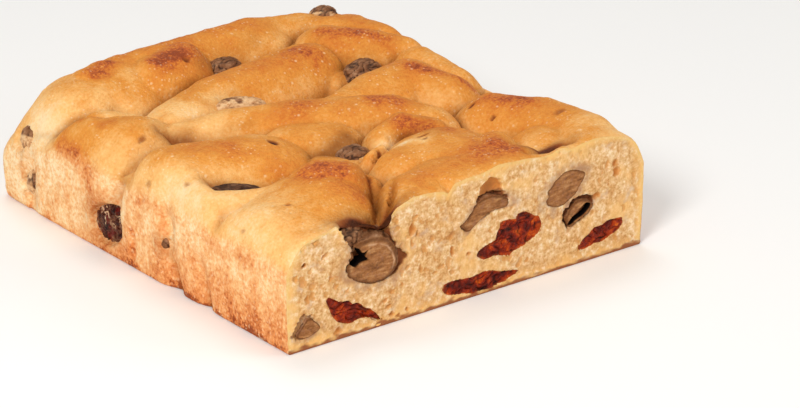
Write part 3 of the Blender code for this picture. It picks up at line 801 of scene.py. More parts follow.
def addSkin(patches, grid, base, rise, low, side):
    # a grid of the crust with its colours, worked out at the places before the fine relief
    x, y = base[..., 0], base[..., 1]
    up = smooth(rise, 0.2, 0.8)
    valley = smooth(crevice(x, y, crust["valleyReach"]), 0.4, 3.0)
    # painted shade in the creases, the broad valleys, the folds and the listed low places, taken off where
    # they lie in the light
    shade = (0.5 * smooth(low, 0.1, 0.8) + 0.4 * valley + shadeOf(base)) * up
    shade = shade + 0.4 * wallFold(base) * (1 - smooth(rise, 0.5, 1.0))
    shade = (shade * (1 - most(bells(x, y, crust["lit"])))).clip(0, 1)
    # dark: the flecks, and painted shade round the olives, at the painted shadows on the top and round the
    # pieces in the left wall
    dark = (darkOf(base) * up + wallShadowOf(base) * (1 - up)).clip(0, 1)
    patches.add(grid, flip=True, bake=bakeOf(base, rise), side=side, dark=dark, shade=shade)


def addCutEnd(patches, loop):
    # a thin rim, and a tray that the crumb sits in, dark with painted shade where the notch is
    inner = insetLoop(loop, crust["rimWidth"])
    deep = underDough(inner, crust["trayDepth"], crust["trayRoom"])
    rim = np.stack([ring(loop), ring(inner)])
    shade = 1 - smooth(reachIn(rim[..., 0], rim[..., 2], crumb["gaps"][0]), 1.06, 1.2)
    patches.add(rim, flip=True, inside=np.array([[0.0], [1.0]]), dark=0.9 * shade, shade=shade)
    tray = np.stack([ring(inner), ring(deep), ring(spineOf(deep))])
    patches.add(tray, flip=True, inside=1.0, dark=0.9 * shade[1], shade=shade[1])


def makeCrust():
    # the walls, the top, the underside and the tray behind the cut. Also gives the edge of the cut.
    n, m = crust["lengthFaces"], crust["widthFaces"]
    s = np.concatenate([np.linspace(0, 1, n + 1), np.linspace(1, 2, m + 1)[1:], np.linspace(2, 3, n + 1)[1:]])
    strip, outward, walked, rise = crustStrip(s)
    edge = strip[-1]
    left, back, right = edge[: n + 1], edge[n : n + m + 1], edge[n + m :][::-1]
    t = np.linspace(0, 1, m + 1)[:, None]
    top = relaxed(coons(left[0] * (1 - t) + right[0] * t, back, left, right), crust["relaxing"])
    top[..., 2] = doughHeight(top[..., 0], top[..., 1])
    stripBase, topBase = strip.copy(), top.copy()
    onTop = smooth(rise, 0.2, 0.9)
    onWall = (1 - onTop) * smooth(strip[..., 2], -0.5, 1.5)
    move = topRelief(strip) * onTop + wallRelief(strip, walked) * onWall
    strip = strip + outward * move[..., None]
    reach = crust["creaseReach"]
    stripLow, topLow = (crevice(g[..., 0], g[..., 1], reach).clip(0, 1.2) for g in (strip, top))
    stripLow = stripLow * smooth(rise, 0.3, 1.0)
    top[..., 2] += topRelief(topBase) - crust["deepen"] * topLow
    strip[..., 2] -= crust["deepen"] * stripLow
    drawBack(strip, top)
    for grid in (strip, top):
        grid[..., 2] = grid[..., 2].clip(0, breadHigh[2])
    patches = Patches("bake", "side", "dark", "shade", "inside")
    addSkin(patches, strip, stripBase, rise, stripLow, 1 - smooth(rise, 0.1, 0.6))
    addSkin(patches, top, topBase, 1, topLow, 0)
    # underside: rings that shrink towards the middle of the footprint
    loop = cutLoop(strip, top)
    footFront = loop[-(crust["bottomFrontFaces"] - 1) :]
    floor = ring(np.concatenate([strip[0], footFront]))
    rings = np.linspace(1, 0, crust["bottomRings"] + 1)[:, None, None]
    patches.add(floor * rings, bake=crust["bottomBake"], side=0.6)
    addCutEnd(patches, loop)
    return patches.make("crust"), loop


# Pieces cut through with the loaf. outline is where the cut goes round a piece, x and z measured from
# middle; shift is how far the far end of its body lies off in x and z, and widen how much the body
# swells behind the cut.
cutOlives = {
    "olive_cut_ring": {
        "middle": (-41.0, 23.0), "depth": 13.5, "shift": (9.0, 2.0), "widen": (0.20, 0.10),
        "outline": [
            (10.6, -1.6), (9.8, -4.2), (7.4, -6.2), (3.5, -7.0), (-1.0, -6.6), (-5.5, -4.8), (-8.8, -2.6),
            (-9.8, 0.4), (-8.6, 2.8), (-7.6, 6.0), (-5.0, 7.9), (-1.0, 8.4), (3.5, 7.8), (7.2, 6.0),
            (9.4, 3.0),
        ],
        "hole": [
            (-7.9, 7.2), (-4.7, 6.1), (-3.5, 4.5), (-1.5, 4.8), (-2.3, 3.1), (-1.3, 1.7), (-3.9, 1.5),
            (-6.3, 0.5), (-8.5, 2.4), (-7.1, 4.0),
        ],
        "holeDepth": 6.5,
        "skinLine": [(-1.0, 6.6), (3.5, 6.0), (6.5, 4.5), (8.3, 2.0), (9.3, -1.0), (8.4, -3.6)],
    },
    "olive_cut_crescent": {
        "middle": (5.0, 29.6), "depth": 7.0, "shift": (0.0, 1.0), "widen": (0.02, 0.10),
        "outline": [
            (11.0, 0.4), (9.5, 2.2), (6.0, 3.6), (2.0, 4.1), (-1.5, 3.5), (-4.2, 1.6), (-5.8, -0.6),
            (-8.0, -1.9), (-9.4, -3.4), (-8.2, -4.4), (-6.4, -6.1), (-4.4, -4.8), (-2.5, -3.6),
            (-0.6, -2.8), (1.8, -1.4), (4.5, -0.9), (7.5, -0.9), (10.0, -0.9),
        ],
    },
    "olive_cut_oval": {
        "middle": (40.2, 28.8), "depth": 9.0, "shift": (0.0, 0.0), "widen": (0.02, 0.03),
        "outline": [
            (8.6, 3.6), (7.8, 1.2), (6.2, -0.6), (4.6, -2.9), (2.4, -4.4), (-0.3, -5.8), (-2.8, -6.3),
            (-5.2, -5.8), (-8.2, -4.5), (-8.9, -2.6), (-7.9, -1.4), (-8.3, 0.6), (-6.7, 1.8), (-5.3, 3.6),
            (-3.2, 4.8), (-1.6, 5.8), (0.5, 6.2), (3.0, 6.1), (5.8, 5.2),
        ],
    },
    "olive_cut_hollow": {
        "middle": (46.6, 18.6), "depth": 9.0, "shift": (0.0, 0.0), "widen": (0.03, 0.05),
        "outline": [
            (-5.0, -3.8), (-6.2, -1.2), (-5.4, 0.3), (-4.4, 2.1), (-2.5, 3.6), (0.0, 4.4), (2.5, 4.0),
            (4.5, 3.0), (5.8, 1.4), (4.8, 0.2), (3.3, -1.1), (0.8, -2.2), (-1.6, -3.2), (-4.0, -4.2),
        ],
        "hole": [
            (-5.0, -3.3), (-4.6, -2.0), (-2.9, -0.6), (-1.0, 0.5), (0.9, 2.0), (2.4, 2.7), (4.2, 2.0),
            (4.3, 0.9), (2.9, -0.4), (0.9, -1.5), (-1.5, -2.3), (-3.5, -3.4),
        ],
        "holeDepth": 4.5,
    },
    "olive_cut_low": {
        "middle": (-66.0, 7.0), "depth": 5.5, "shift": (-1.2, 1.6), "widen": (0.05, 0.2),
        "outline": [
            (-4.5, -2.0), (-3.5, 0.0), (-2.0, 1.6), (-0.6, 2.9), (1.0, 3.1), (2.6, 2.0), (4.5, 0.0),
            (4.0, -1.5), (1.5, -2.5), (-1.0, -3.0),
        ],
    },
}
cutTomatoes = {
    "tomato_cut_left": {
        "middle": (-50.5, 9.6), "seed": 3,
        "outline": [
            (-9.0, 5.4), (-8.0, 6.4), (-6.0, 5.3), (-4.0, 3.9), (-2.0, 3.4), (0.4, 3.0), (2.0, 1.4),
            (3.6, 1.5), (5.2, 0.6), (7.5, -1.4), (9.5, -2.3), (11.0, -3.6), (12.5, -5.2), (14.0, -7.2),
            (13.4, -8.2), (11.0, -6.8), (9.0, -5.2), (7.0, -5.0), (4.5, -5.0), (2.5, -5.5), (0.0, -5.2),
            (-3.0, -4.2), (-5.5, -2.2), (-7.0, 0.4), (-8.0, 3.0),
        ],
    },
    "tomato_cut_middle": {
        "middle": (17.5, 18.0), "seed": 4,
        "outline": [
            (-16.0, -4.4), (-15.4, -2.6), (-13.5, -1.6), (-11.0, -0.9), (-8.0, -0.1), (-7.1, 2.4),
            (-6.0, 4.0), (-5.0, 5.9), (-2.0, 6.1), (1.4, 5.5), (2.1, 7.1), (5.5, 7.2), (9.0, 5.2),
            (12.0, 3.5), (13.0, 0.5), (11.5, -2.0), (9.5, -3.5), (6.5, -5.0), (2.0, -6.0), (-1.5, -7.3),
            (-5.5, -6.5), (-9.0, -6.1), (-13.0, -6.1),
        ],
    },
    "tomato_cut_base": {
        "middle": (3.0, 4.6), "seed": 5,
        "outline": [
            (-15.4, 0.8), (-14.8, 2.8), (-13.0, 3.5), (-9.5, 3.5), (-5.5, 3.0), (-1.5, 3.0), (2.5, 3.4),
            (6.5, 2.8), (10.0, 1.6), (13.5, 1.0), (17.5, 0.0), (14.0, -1.8), (9.5, -2.8), (6.0, -3.4),
            (1.5, -3.5), (-3.0, -3.1), (-7.5, -2.2), (-11.5, -1.6), (-14.4, -0.6),
        ],
    },
    "tomato_cut_right": {
        "middle": (56.0, 8.5), "seed": 6,
        "outline": [
            (-9.8, -2.6), (-8.8, -0.4), (-6.0, 1.0), (-3.4, 2.9), (0.4, 3.1), (3.2, 4.2), (6.4, 4.0),
            (9.6, 3.4), (9.9, 1.2), (8.2, -0.6), (4.6, -1.6), (1.0, -3.2), (-2.6, -3.0), (-6.0, -3.9),
            (-9.0, -3.9),
        ],
    },
}

crumb = {
    "columns": 520,
    "rows": 150,
    "inset": 0.06,
    "thickness": 5.8,
    "slabRoom": 2.0,         # how far under the dough the crumb's back stays
    "bedDepth": 2.6,         # how deep the cut pieces' beds are
    "bedEdge": (0.84, 0.96),         # where a bed's floor ends and its edge, as shares of the piece
    "gapEdge": (0.92, 1.02),         # the same for a gap
    "gapRoom": 2.4,          # how far under the dough a gap's floor stays
    "calmRim": (0.3, 2.5),   # distances from the rim between which the relief grows
    "calmShare": 0.35,       # the share of it that the rim keeps
    "rimRound": (0.2, 0.6),  # how far back the crumb rounds at its rim, and over what width
    "faceHeight": 40.0,      # for the distance from the rim
    "ragged": 0.7,
    "level": 0.22,           # how far the crumb lies behind the plane of the cut
    "grain": [(3.2, 0.07), (1.3, 0.04), (0.6, 0.03)],
    # count, half width, length to width, lean and its spread, depth to width
    "poreGroups": [
        (260, (0.45, 1.15), (1.1, 2.2), 8, 40, (0.16, 0.45)),
        (900, (0.24, 0.5), (1.0, 1.7), 8, 50, (0.2, 0.5)),
        (900, (0.16, 0.28), (1.0, 1.6), 0, 60, (0.4, 0.7)),
    ],
    # the larger pores: x, z, half sizes, turn, depth
    "pores": [
        (-67.4, 29.1, 0.8, 0.9, 0, 2.6), (-63.1, 35.9, 1.5, 0.8, 8, 0.9), (-71.1, 25.6, 1.1, 1.1, 0, 1.0),
        (-68.2, 23.7, 1.5, 2.0, 10, 0.9), (-64.5, 21.1, 1.3, 1.2, 0, 0.8), (-66.4, 17.1, 0.9, 1.8, 6, 1.0),
        (-63.9, 17.1, 0.7, 0.8, 0, 0.8), (-59.6, 30.3, 1.7, 0.8, 25, 1.1), (-57.0, 22.3, 0.9, 1.2, 0, 1.0),
        (-55.5, 18.9, 0.9, 1.0, 0, 0.8), (-26.4, 17.7, 0.9, 1.0, 0, 0.9), (-24.5, 30.5, 1.2, 2.2, -8, 1.5),
        (-22.5, 28.9, 0.6, 1.5, -12, 1.4), (-24.5, 25.7, 0.8, 1.4, 10, 0.9), (-16.4, 24.9, 0.8, 1.4, 0, 0.8),
        (-23.1, 34.7, 1.2, 0.8, 0, 0.9), (-21.0, 16.2, 0.7, 1.6, 0, 0.9), (-32.6, 11.1, 1.1, 0.8, 0, 0.9),
        (-35.7, 8.6, 1.7, 0.9, 10, 1.0), (-34.3, 6.2, 1.2, 0.8, 0, 1.1), (-32.8, 3.1, 1.3, 1.0, 0, 1.4),
        (-30.3, 1.9, 1.3, 0.8, 0, 1.6), (-26.7, 3.2, 1.1, 0.8, 0, 1.3), (-54.6, 2.9, 1.8, 1.5, 20, 1.6),
        (-28.7, 12.4, 0.8, 0.9, 0, 0.8), (-8.5, 24.3, 1.8, 1.1, 20, 1.1), (-8.1, 18.7, 0.8, 1.9, 0, 1.3),
        (-1.1, 15.9, 1.1, 0.5, 0, 1.2), (-12.5, 14.4, 1.6, 0.9, 10, 0.9), (-15.4, 13.2, 1.2, 0.8, 0, 0.8),
        (-8.1, 11.3, 1.0, 0.8, 0, 0.8), (61.7, 32.4, 1.3, 1.5, -10, 1.4), (62.3, 29.2, 1.8, 2.0, -30, 1.5),
        (53.4, 22.6, 1.9, 1.4, 10, 1.5), (59.1, 25.7, 0.8, 0.9, 0, 0.9), (8.1, 36.0, 4.6, 4.6, -18, 2.0),
        (4.6, 33.2, 2.4, 2.8, 20, 2.0), (12.0, 34.0, 2.4, 1.6, -30, 2.0),
    ],
    # open spaces beside pieces, laid out like the pieces themselves
    "gaps": [
        {
            "middle": (-40.5, 23.6), "depth": 5.0,
            "outline": [
                (10.8, -1.6), (10.4, -4.1), (9.2, -5.9), (7.0, -7.3), (3.0, -7.9), (-1.5, -7.4),
                (-6.2, -5.2), (-9.3, -3.0), (-10.2, 0.0), (-9.0, 2.6), (-8.4, 6.3), (-11.1, 11.1),
                (-13.1, 15.0), (-12.5, 19.5), (0.0, 20.0), (9.4, 19.0), (7.8, 14.2), (7.2, 9.1), (9.6, 4.2),
                (10.6, 1.0),
            ],
        },
        {
            "middle": (-30.6, 22.6), "depth": 1.9,
            "outline": [
                (4.6, -0.6), (2.6, -3.4), (-1.0, -6.4), (-4.0, -5.0), (-3.5, 0.0), (-3.0, 4.0), (-0.8, 4.6),
                (1.6, 2.4),
            ],
        },
        {
            "middle": (46.3, 18.9), "depth": 2.2,
            "outline": [
                (-5.6, -4.6), (-7.4, -1.4), (-6.6, 1.4), (-4.8, 3.6), (-2.2, 5.4), (1.6, 5.8), (5.2, 4.6),
                (6.8, 2.4), (5.6, -0.2), (3.0, -2.4), (-1.0, -4.2),
            ],
        },
        {
            "middle": (-67.4, 8.4), "depth": 1.0,
            "outline": [
                (-5.6, -2.9), (-4.0, -0.2), (-2.8, 2.2), (-0.4, 4.3), (2.8, 2.7), (3.5, 0.5), (0.5, -3.8),
                (-2.5, -4.4),
            ],
        },
        {
            "middle": (6.2, 30.4), "depth": 1.4,
            "outline": [
                (10.2, 1.0), (8.0, 3.4), (4.0, 4.4), (0.0, 4.2), (-4.0, 2.6), (-8.0, -2.0), (-11.0, -4.0),
                (-8.4, -6.6), (-3.0, -4.0), (4.0, -1.6),
            ],
        },
    ],
}


def closedCurve(points, count):
    # a smooth loop through points: between b and c, with neighbours a and d, it is
    # b + (c - a) t / 2 + (2a - 5b + 4c - d) t^2 / 2 + (3b - a - 3c + d) t^3 / 2
    b = np.array(points, float)
    a, c, d = np.roll(b, 1, axis=0), np.roll(b, -1, axis=0), np.roll(b, -2, axis=0)
    place = np.linspace(0, len(b), count, endpoint=False)
    n = place.astype(int)
    t = (place - n)[:, None]
    a, b, c, d = a[n], b[n], c[n], d[n]
    return b + (c - a) * t / 2 + (2 * a - 5 * b + 4 * c - d) * t**2 / 2 + (3 * b - a - 3 * c + d) * t**3 / 2


def rimOf(outline, angle):
    # distance from the middle to an outline in each direction
    curve = closedCurve(outline, 720)
    way, far = np.arctan2(curve[:, 1], curve[:, 0]), np.hypot(curve[:, 0], curve[:, 1])
    order = np.argsort(way)
    return np.interp(angle, way[order], far[order], period=2 * math.pi)


def reachIn(x, z, shape):
    # distance from a shape's middle as a share of the distance to its outline, 1 on the outline
    dx, dz = x - shape["middle"][0], z - shape["middle"][1]
    return np.hypot(dx, dz) / rimOf(shape["outline"], np.arctan2(dz, dx))


def crumbDepth(x, z):
    # how far the crumb's surface lies behind the cut: grain, pores, the gaps beside pieces and the
    # beds that the pieces sit in. Also gives the depth of pores and of gaps, for their painted shade.
    points = np.stack([x, 0 * x, z], axis=-1)
    fine = sum(h * noiseField(points, size, 90 + n) for n, (size, h) in enumerate(crumb["grain"]))
    px, pz = (v + crumb["ragged"] * noiseField(points, 1.4, seed) for v, seed in ((x, 95), (z, 96)))
    listed = np.array(crumb["pores"])
    depths = listed[:, 5] * np.where(listed[:, 5] < 2, 0.6, 1)
    pores = bowls(px, pz, listed[:, :2], listed[:, 2:4], listed[:, 4], depths)
    rng = np.random.default_rng(11)
    box = (x.min(), x.max(), z.min(), z.max())
    for group in crumb["poreGroups"]:
        pores = np.maximum(pores, bowls(px, pz, *scatter(rng, box, *group)))
    start, end = crumb["gapEdge"]
    pockets = most(gap["depth"] * (1 - smooth(reachIn(px, pz, gap), start, end)) for gap in crumb["gaps"])
    pieces = [*cutOlives.values(), *cutTomatoes.values()]
    beds = crumb["bedDepth"] * most(1 - smooth(reachIn(x, z, item), *crumb["bedEdge"]) for item in pieces)
    return crumb["level"] + fine + pores + np.maximum(pockets, beds), pores, pockets


def resampled(curve, count):
    # a curve's points spread evenly along its length
    steps = np.linalg.norm(np.diff(curve, axis=0), axis=1)
    length = np.concatenate([[0], np.cumsum(steps)])
    at = np.linspace(0, length[-1], count)
    return np.stack([np.interp(at, length, axis) for axis in curve.T], axis=-1)


def borderOf(grid):
    # the border of a grid as a loop: first column up, top row, last column down, first row back
    return np.concatenate([grid[0, :-1], grid[:-1, -1], grid[-1, :0:-1], grid[:0:-1, 0]])


def stainOf(x, z):
    # where an olive has coloured the crumb round it
    stain = 0.9 * most(1 - smooth(reachIn(x, z, item), 1.0, 1.65) for item in cutOlives.values())
    return stain * (0.6 + 0.8 * noiseField(np.stack([x, 0 * x, z], axis=-1), 3.0, 98)).clip(0, 1)


def makeCrumb(loop):
    # a lid over the whole cut: its face, a short side in front of the crust's edge, a slab in the tray
    wall, across = crust["footRows"] + crust["wallRows"] + crust["shoulderRows"] + 1, crust["widthFaces"]
    edge = insetLoop(loop * (1, 0, 1), crumb["inset"])
    left = edge[:wall]
    top = edge[wall - 1 : wall + across]
    right = edge[wall + across - 1 : 2 * wall + across - 1][::-1]
    foot = np.concatenate([right[:1], edge[2 * wall + across - 1 :], left[:1]])[::-1]
    nx, nz = crumb["columns"], crumb["rows"]
    grid = coons(resampled(foot, nx), resampled(top, nx), resampled(left, nz), resampled(right, nz))
    x, z = grid[..., 0], grid[..., 2]
    whole, pores, pockets = crumbDepth(x, z)
    # near the rim the relief is calmer, and the crumb rounds back by (1 - distance / width)^2
    u, v = np.linspace(0, 1, nx)[:, None], np.linspace(0, 1, nz)[None]
    toRim = np.minimum(np.minimum(u, 1 - u) * loafWidth, np.minimum(v, 1 - v) * crumb["faceHeight"])
    calm = smooth(toRim, *crumb["calmRim"])
    roundBack, roundWidth = crumb["rimRound"]
    rounded = roundBack * (1 - toRim / roundWidth).clip(0, 1) ** 2
    kept = crumb["calmShare"] + (1 - crumb["calmShare"]) * calm
    depth = crumb["level"] + (whole - crumb["level"] - pockets) * kept + rounded + pockets
    face = grid.copy()
    face[..., 1] = cutY + depth.clip(0.02, crumb["thickness"] - 0.3)
    lowest = np.minimum(z, doughHeight(face[..., 0], face[..., 1]) - crumb["gapRoom"])
    face[..., 2] = np.where(pockets > 0.4, lowest, z)
    # the browned foot, ragged and here and there higher
    points = grid * (1, 0, 1)
    low = z + 0.8 * noiseField(points, (3.0, 1, 1.2), 97)
    browned = 1 - smooth(low - 1.4 * noiseField(points, (8.0, 1, 5.0), 99).clip(0, 1), 0.6, 1.7)
    patches = Patches("pore", "pocket", "rim", "foot", "stain")
    patches.add(face, pore=pores, pocket=pockets, rim=toRim, foot=browned, stain=stainOf(x, z))
    border = borderOf(face)
    side = border.copy()
    side[:, 1] = np.maximum(border[:, 1], cutY + crust["lidGap"] - 0.04)
    under = insetLoop(side, crust["rimWidth"] + 0.1)
    back = underDough(under, crumb["thickness"], crumb["slabRoom"])
    loops = [ring(each) for each in (border, side, under, back, spineOf(back))]
    patches.add(np.stack(loops), rim=0.3, pocket=ring(borderOf(pockets)))
    return patches.make("crumb", sharp=80)


olive = {
    # dough that covers part of an olive: share, slope with height, roughness
    "films": {
        "olive_in_dough": (0.75, -0.3, 1.3), "olive_back_corner": (0.05, -0.6, 1.3),
        "olive_left_corner": (0.30, -1.4, 0.5), "olive_left_end": (-0.1, 0.0, 1.4),
    },
    # how much painted shade an olive gets from the dough over it
    "darker": {"olive_left_dimple": 0.85},
    "segments": 96,
    "rings": 56,
    "wrinkle": 0.075,       # depth of a whole olive's wrinkles, as a share of its size
    "wrinkleLength": 2.2,   # and how many times longer than wide they are
    "shrink": 0.02,         # how much smaller it is, for its unevenness
    "swell": 0.05,
    "recess": 0.14,         # how far a cut face lies behind the cut, and how much further its rim
    "rimDrop": 0.25,
    "skinLineHalf": 0.32,
    "holeEdge": (0.94, 1.05),
    "cutRings": 44,
    "bodyRings": 22,
    "cutSegments": 160,
}
tomato = {
    "relief": 1.0,
    "recess": 0.12,
    "depth": 6.5,
    "cutRings": 44,
    "bodyRings": 14,
    "cutSegments": 180,
}


def sphereGrid(rings, segments):
    # directions on a sphere: rows from the top pole to the bottom pole, columns once round
    down = np.linspace(0, math.pi, rings + 1)[:, None]
    around = np.linspace(0, 2 * math.pi, segments + 1)[None]
    level = np.sin(down)
    grid = np.stack([level * np.cos(around), level * np.sin(around), np.cos(down) + 0 * around], axis=-1)
    grid[:, -1] = grid[:, 0]
    grid[0], grid[-1] = (0, 0, 1), (0, 0, -1)
    return grid


def spun(points, turn, axis):
    # points turned about the z axis, or about x for a piece in the left wall
    a = math.radians(turn)
    c, s = math.cos(a), math.sin(a)
    turns = {"z": [[c, -s, 0], [s, c, 0], [0, 0, 1]], "x": [[1, 0, 0], [0, c, -s], [0, s, c]]}
    return points @ np.array(turns[axis]).T


def wrinkled(directions, half, seed):
    # creases where a stretched noise passes through zero: 1 - 2.2 |noise|, squared
    places, long = directions * np.array(half), olive["wrinkleLength"]
    bent = places + 1.2 * np.stack([noiseField(places, 4.0, seed + k) for k in range(3)], axis=-1)
    coarse = 1 - abs(noiseField(bent, (2.6 * long, 2.6, 2.6), seed + 3)) * 2.2
    fine = 1 - abs(noiseField(bent, (1.3 * long, 1.2, 1.2), seed + 4)) * 2.2
    return coarse.clip(0, 1) ** 2.0 + 0.5 * fine.clip(0, 1) ** 2.0


def makeLump(name, middle, half, turn, axis, seed, depth):
    # a whole olive or tomato: a sphere pushed in along its creases, stretched, turned and placed.
    # A film of dough lies over it where its share, its slope with height and noise add to above 0.
    directions = sphereGrid(olive["rings"], olive["segments"])
    crease = wrinkled(directions, half, seed)
    swell = olive["swell"] * noiseField(directions, 0.9, seed + 7)
    points = directions * (1 - depth * crease + swell - olive["shrink"])[..., None] * np.array(half)
    points[:, -1] = points[:, 0]
    points[0], points[-1] = points[0, 0], points[-1, 0]
    share, slope, rough = olive["films"].get(name, (-9, 0, 0))
    film = share + slope * directions[..., 2] + rough * noiseField(points, 3.0, seed + 8)
    # crease, and deep made from it, also set the painted shade in the wrinkles; an olive listed as darker
    # gets more, as painted shade from the dough over it
    crease = crease + olive["darker"].get(name, 0)
    placed = spun(points, turn, axis) + np.array(middle)
    patches = Patches("crease", "film", "deep", "burnt")
    patches.add(placed, crease=crease, film=smooth(film, -0.15, 0.15), deep=0.3 + 0.9 * crease, burnt=1.0)
    return patches.make(name)


def makeTopOlive(name, seed):
    x, y, half, turn, under, _ = topOlives[name]
    height = float(doughHeight(np.array([float(x)]), np.array([float(y)]))[0])
    return makeLump(name, (x, y, height - under), half, turn, "z", seed, olive["wrinkle"])


def cutBody(item, segments, flat, bodyRings, closing):
    # rings from the middle of the flat cut out to its outline, then back over the body to its far
    # pole. The body swells with sin(2a) and closes with cos(a)^closing, a from 0 to a quarter turn.
    # Gives points with y from the cut, the share of the way back, the share out, and 1 on the cut.
    angle = np.linspace(0, 2 * math.pi, segments + 1)
    angle[-1] = 0
    a = np.linspace(0, math.pi / 2, bodyRings + 1)[1:, None]
    radius = np.concatenate([flat, np.cos(a) ** closing])
    back = np.concatenate([0 * flat, np.sin(a)])
    swell = np.concatenate([0 * flat, np.sin(2 * a)])
    rim = rimOf(item["outline"], angle)
    way = np.stack([np.cos(angle), np.sin(angle), 0 * angle], axis=-1)
    rim = rim + 0.28 * noiseField(way * rim[:, None], 1.2, 70)
    shift, widen = item.get("shift", (0, 0)), item.get("widen", (0, 0))
    x = item["middle"][0] + shift[0] * back + radius * (1 + widen[0] * swell) * rim * np.cos(angle)
    z = item["middle"][1] + shift[1] * back + radius * (1 + widen[1] * swell) * rim * np.sin(angle)
    points = np.stack([x, item.get("depth", tomato["depth"]) * back + 0 * x, z.clip(0.4, None)], axis=-1)
    out = np.concatenate([flat, 1 + 0 * a]) + 0 * x
    return points, out, np.concatenate([1 + 0 * flat, 0 * a]) + 0 * x


def makeCutOlive(name, seed):
    item = cutOlives[name]
    flat = np.sin(np.linspace(0, math.pi / 2, olive["cutRings"]))[:, None]
    points, out, onCut = cutBody(item, olive["cutSegments"], flat, olive["bodyRings"], 0.75)
    points[..., 1] += cutY + olive["recess"] + olive["rimDrop"] * smooth(out, 0.93, 1.0)
    grain = 0.08 * noiseField(points, (2.2, 9, 0.8), seed + 1) + 0.04 * noiseField(points, 0.5, seed + 2)
    points[..., 1] += (0.08 + grain) * onCut
    rimBand = smooth(out, 0.80, 0.97) * onCut
    line = 0 * out
    if "skinLine" in item:
        ends = np.array(item["skinLine"]) + item["middle"]
        lines = [(*a, *b, olive["skinLineHalf"], 1.0) for a, b in zip(ends, ends[1:])]
        uneven = (0.7 + 0.9 * noiseField(points, 2.2, seed + 3)).clip(0, 1)
        line = most(bells(points[..., 0], points[..., 2], lines)) * onCut * uneven
    hole = 0 * out
    if "hole" in item:
        middle = np.mean(item["hole"], axis=0)
        shape = {
            "middle": np.array(item["middle"]) + middle,
            "outline": [(hx - middle[0], hz - middle[1]) for hx, hz in item["hole"]],
        }
        hole = 1 - smooth(reachIn(points[..., 0], points[..., 2], shape), *olive["holeEdge"])
        hole = hole * onCut
        points[..., 1] += item["holeDepth"] * hole
    crease = smooth(noiseField(points, (3.0, 5.0, 1.6), seed + 5), -0.1, 0.5) * (1 - onCut)
    points[:, -1] = points[:, 0]
    patches = Patches("crease", "cut", "hole", "rimBand", "line")
    patches.add(points, flip=True, crease=crease, cut=onCut, hole=hole, rimBand=rimBand, line=line)
    return patches.make(name)


def makeCutTomato(name):
    # like a cut olive, but the face is folded: noise, and creases where another noise is 0
    item = cutTomatoes[name]
    seed = item["seed"]
    flat = np.linspace(0, 1, tomato["cutRings"])[:, None]
    points, out, onCut = cutBody(item, tomato["cutSegments"], flat, tomato["bodyRings"], 0.6)
    level = points * (1, 0, 1)
    folds = 0.9 * noiseField(level, (4.2, 1, 3.0), seed + 20) + 0.2 * noiseField(level, 1.3, seed + 21)
    crease = (1 - abs(noiseField(level, (3.4, 1, 2.2), seed + 22)) * 2.6).clip(0, 1)
    deep = (0.5 + 0.6 * folds + 0.45 * crease**2).clip(0, 2)
    curl = smooth(out, 0.80, 1.0)
    points[..., 1] += cutY + tomato["recess"] + tomato["relief"] * deep * onCut * (1 - 0.55 * curl)
    points[:, -1] = points[:, 0]
    # deep, how far the face is folded back, also sets the painted shade in the folds
    patches = Patches("deep", "edge")
    patches.add(points, flip=True, deep=deep, edge=curl)
    return patches.make(name)


# Pieces in the left wall and behind the cut: middle, half sizes, turn, axis of the turn, noise seed,
# depth of the wrinkles
sidePieces = {
    "tomato_left_side": ((-70.0, 18.6, 10.3), (3.2, 10.8, 8.4), -15, "x", 31, 0.17),
    "olive_left_side": ((-71.6, -14.4, 14.0), (2.0, 3.0, 3.2), 0, "x", 32, 0.10),
    "olive_left_end": ((-71.6, 65, 11), (3.2, 3.8, 6.4), 24, "x", 33, 0.12),
    "olive_left_corner": ((-69.8, 68.5, 25.2), (4.8, 5, 5.2), 0, "x", 34, 0.08),
    "olive_behind_ring": ((-46.6, -80.4, 31.4), (6.8, 4.6, 5.4), 15, "z", 35, 0.12),
}

crustColours = [
    (0.00, (254, 222, 172)), (0.25, (247, 191, 118)), (0.50, (228, 150, 62)),
    (0.70, (212, 122, 44)), (0.85, (190, 96, 44)), (1.00, (150, 70, 34)),
]
wallColours = [
    (0.00, (255, 228, 184)), (0.20, (250, 205, 148)), (0.40, (240, 175, 112)),
    (0.60, (228, 146, 82)), (0.80, (200, 110, 52)), (1.00, (150, 70, 32)),
]


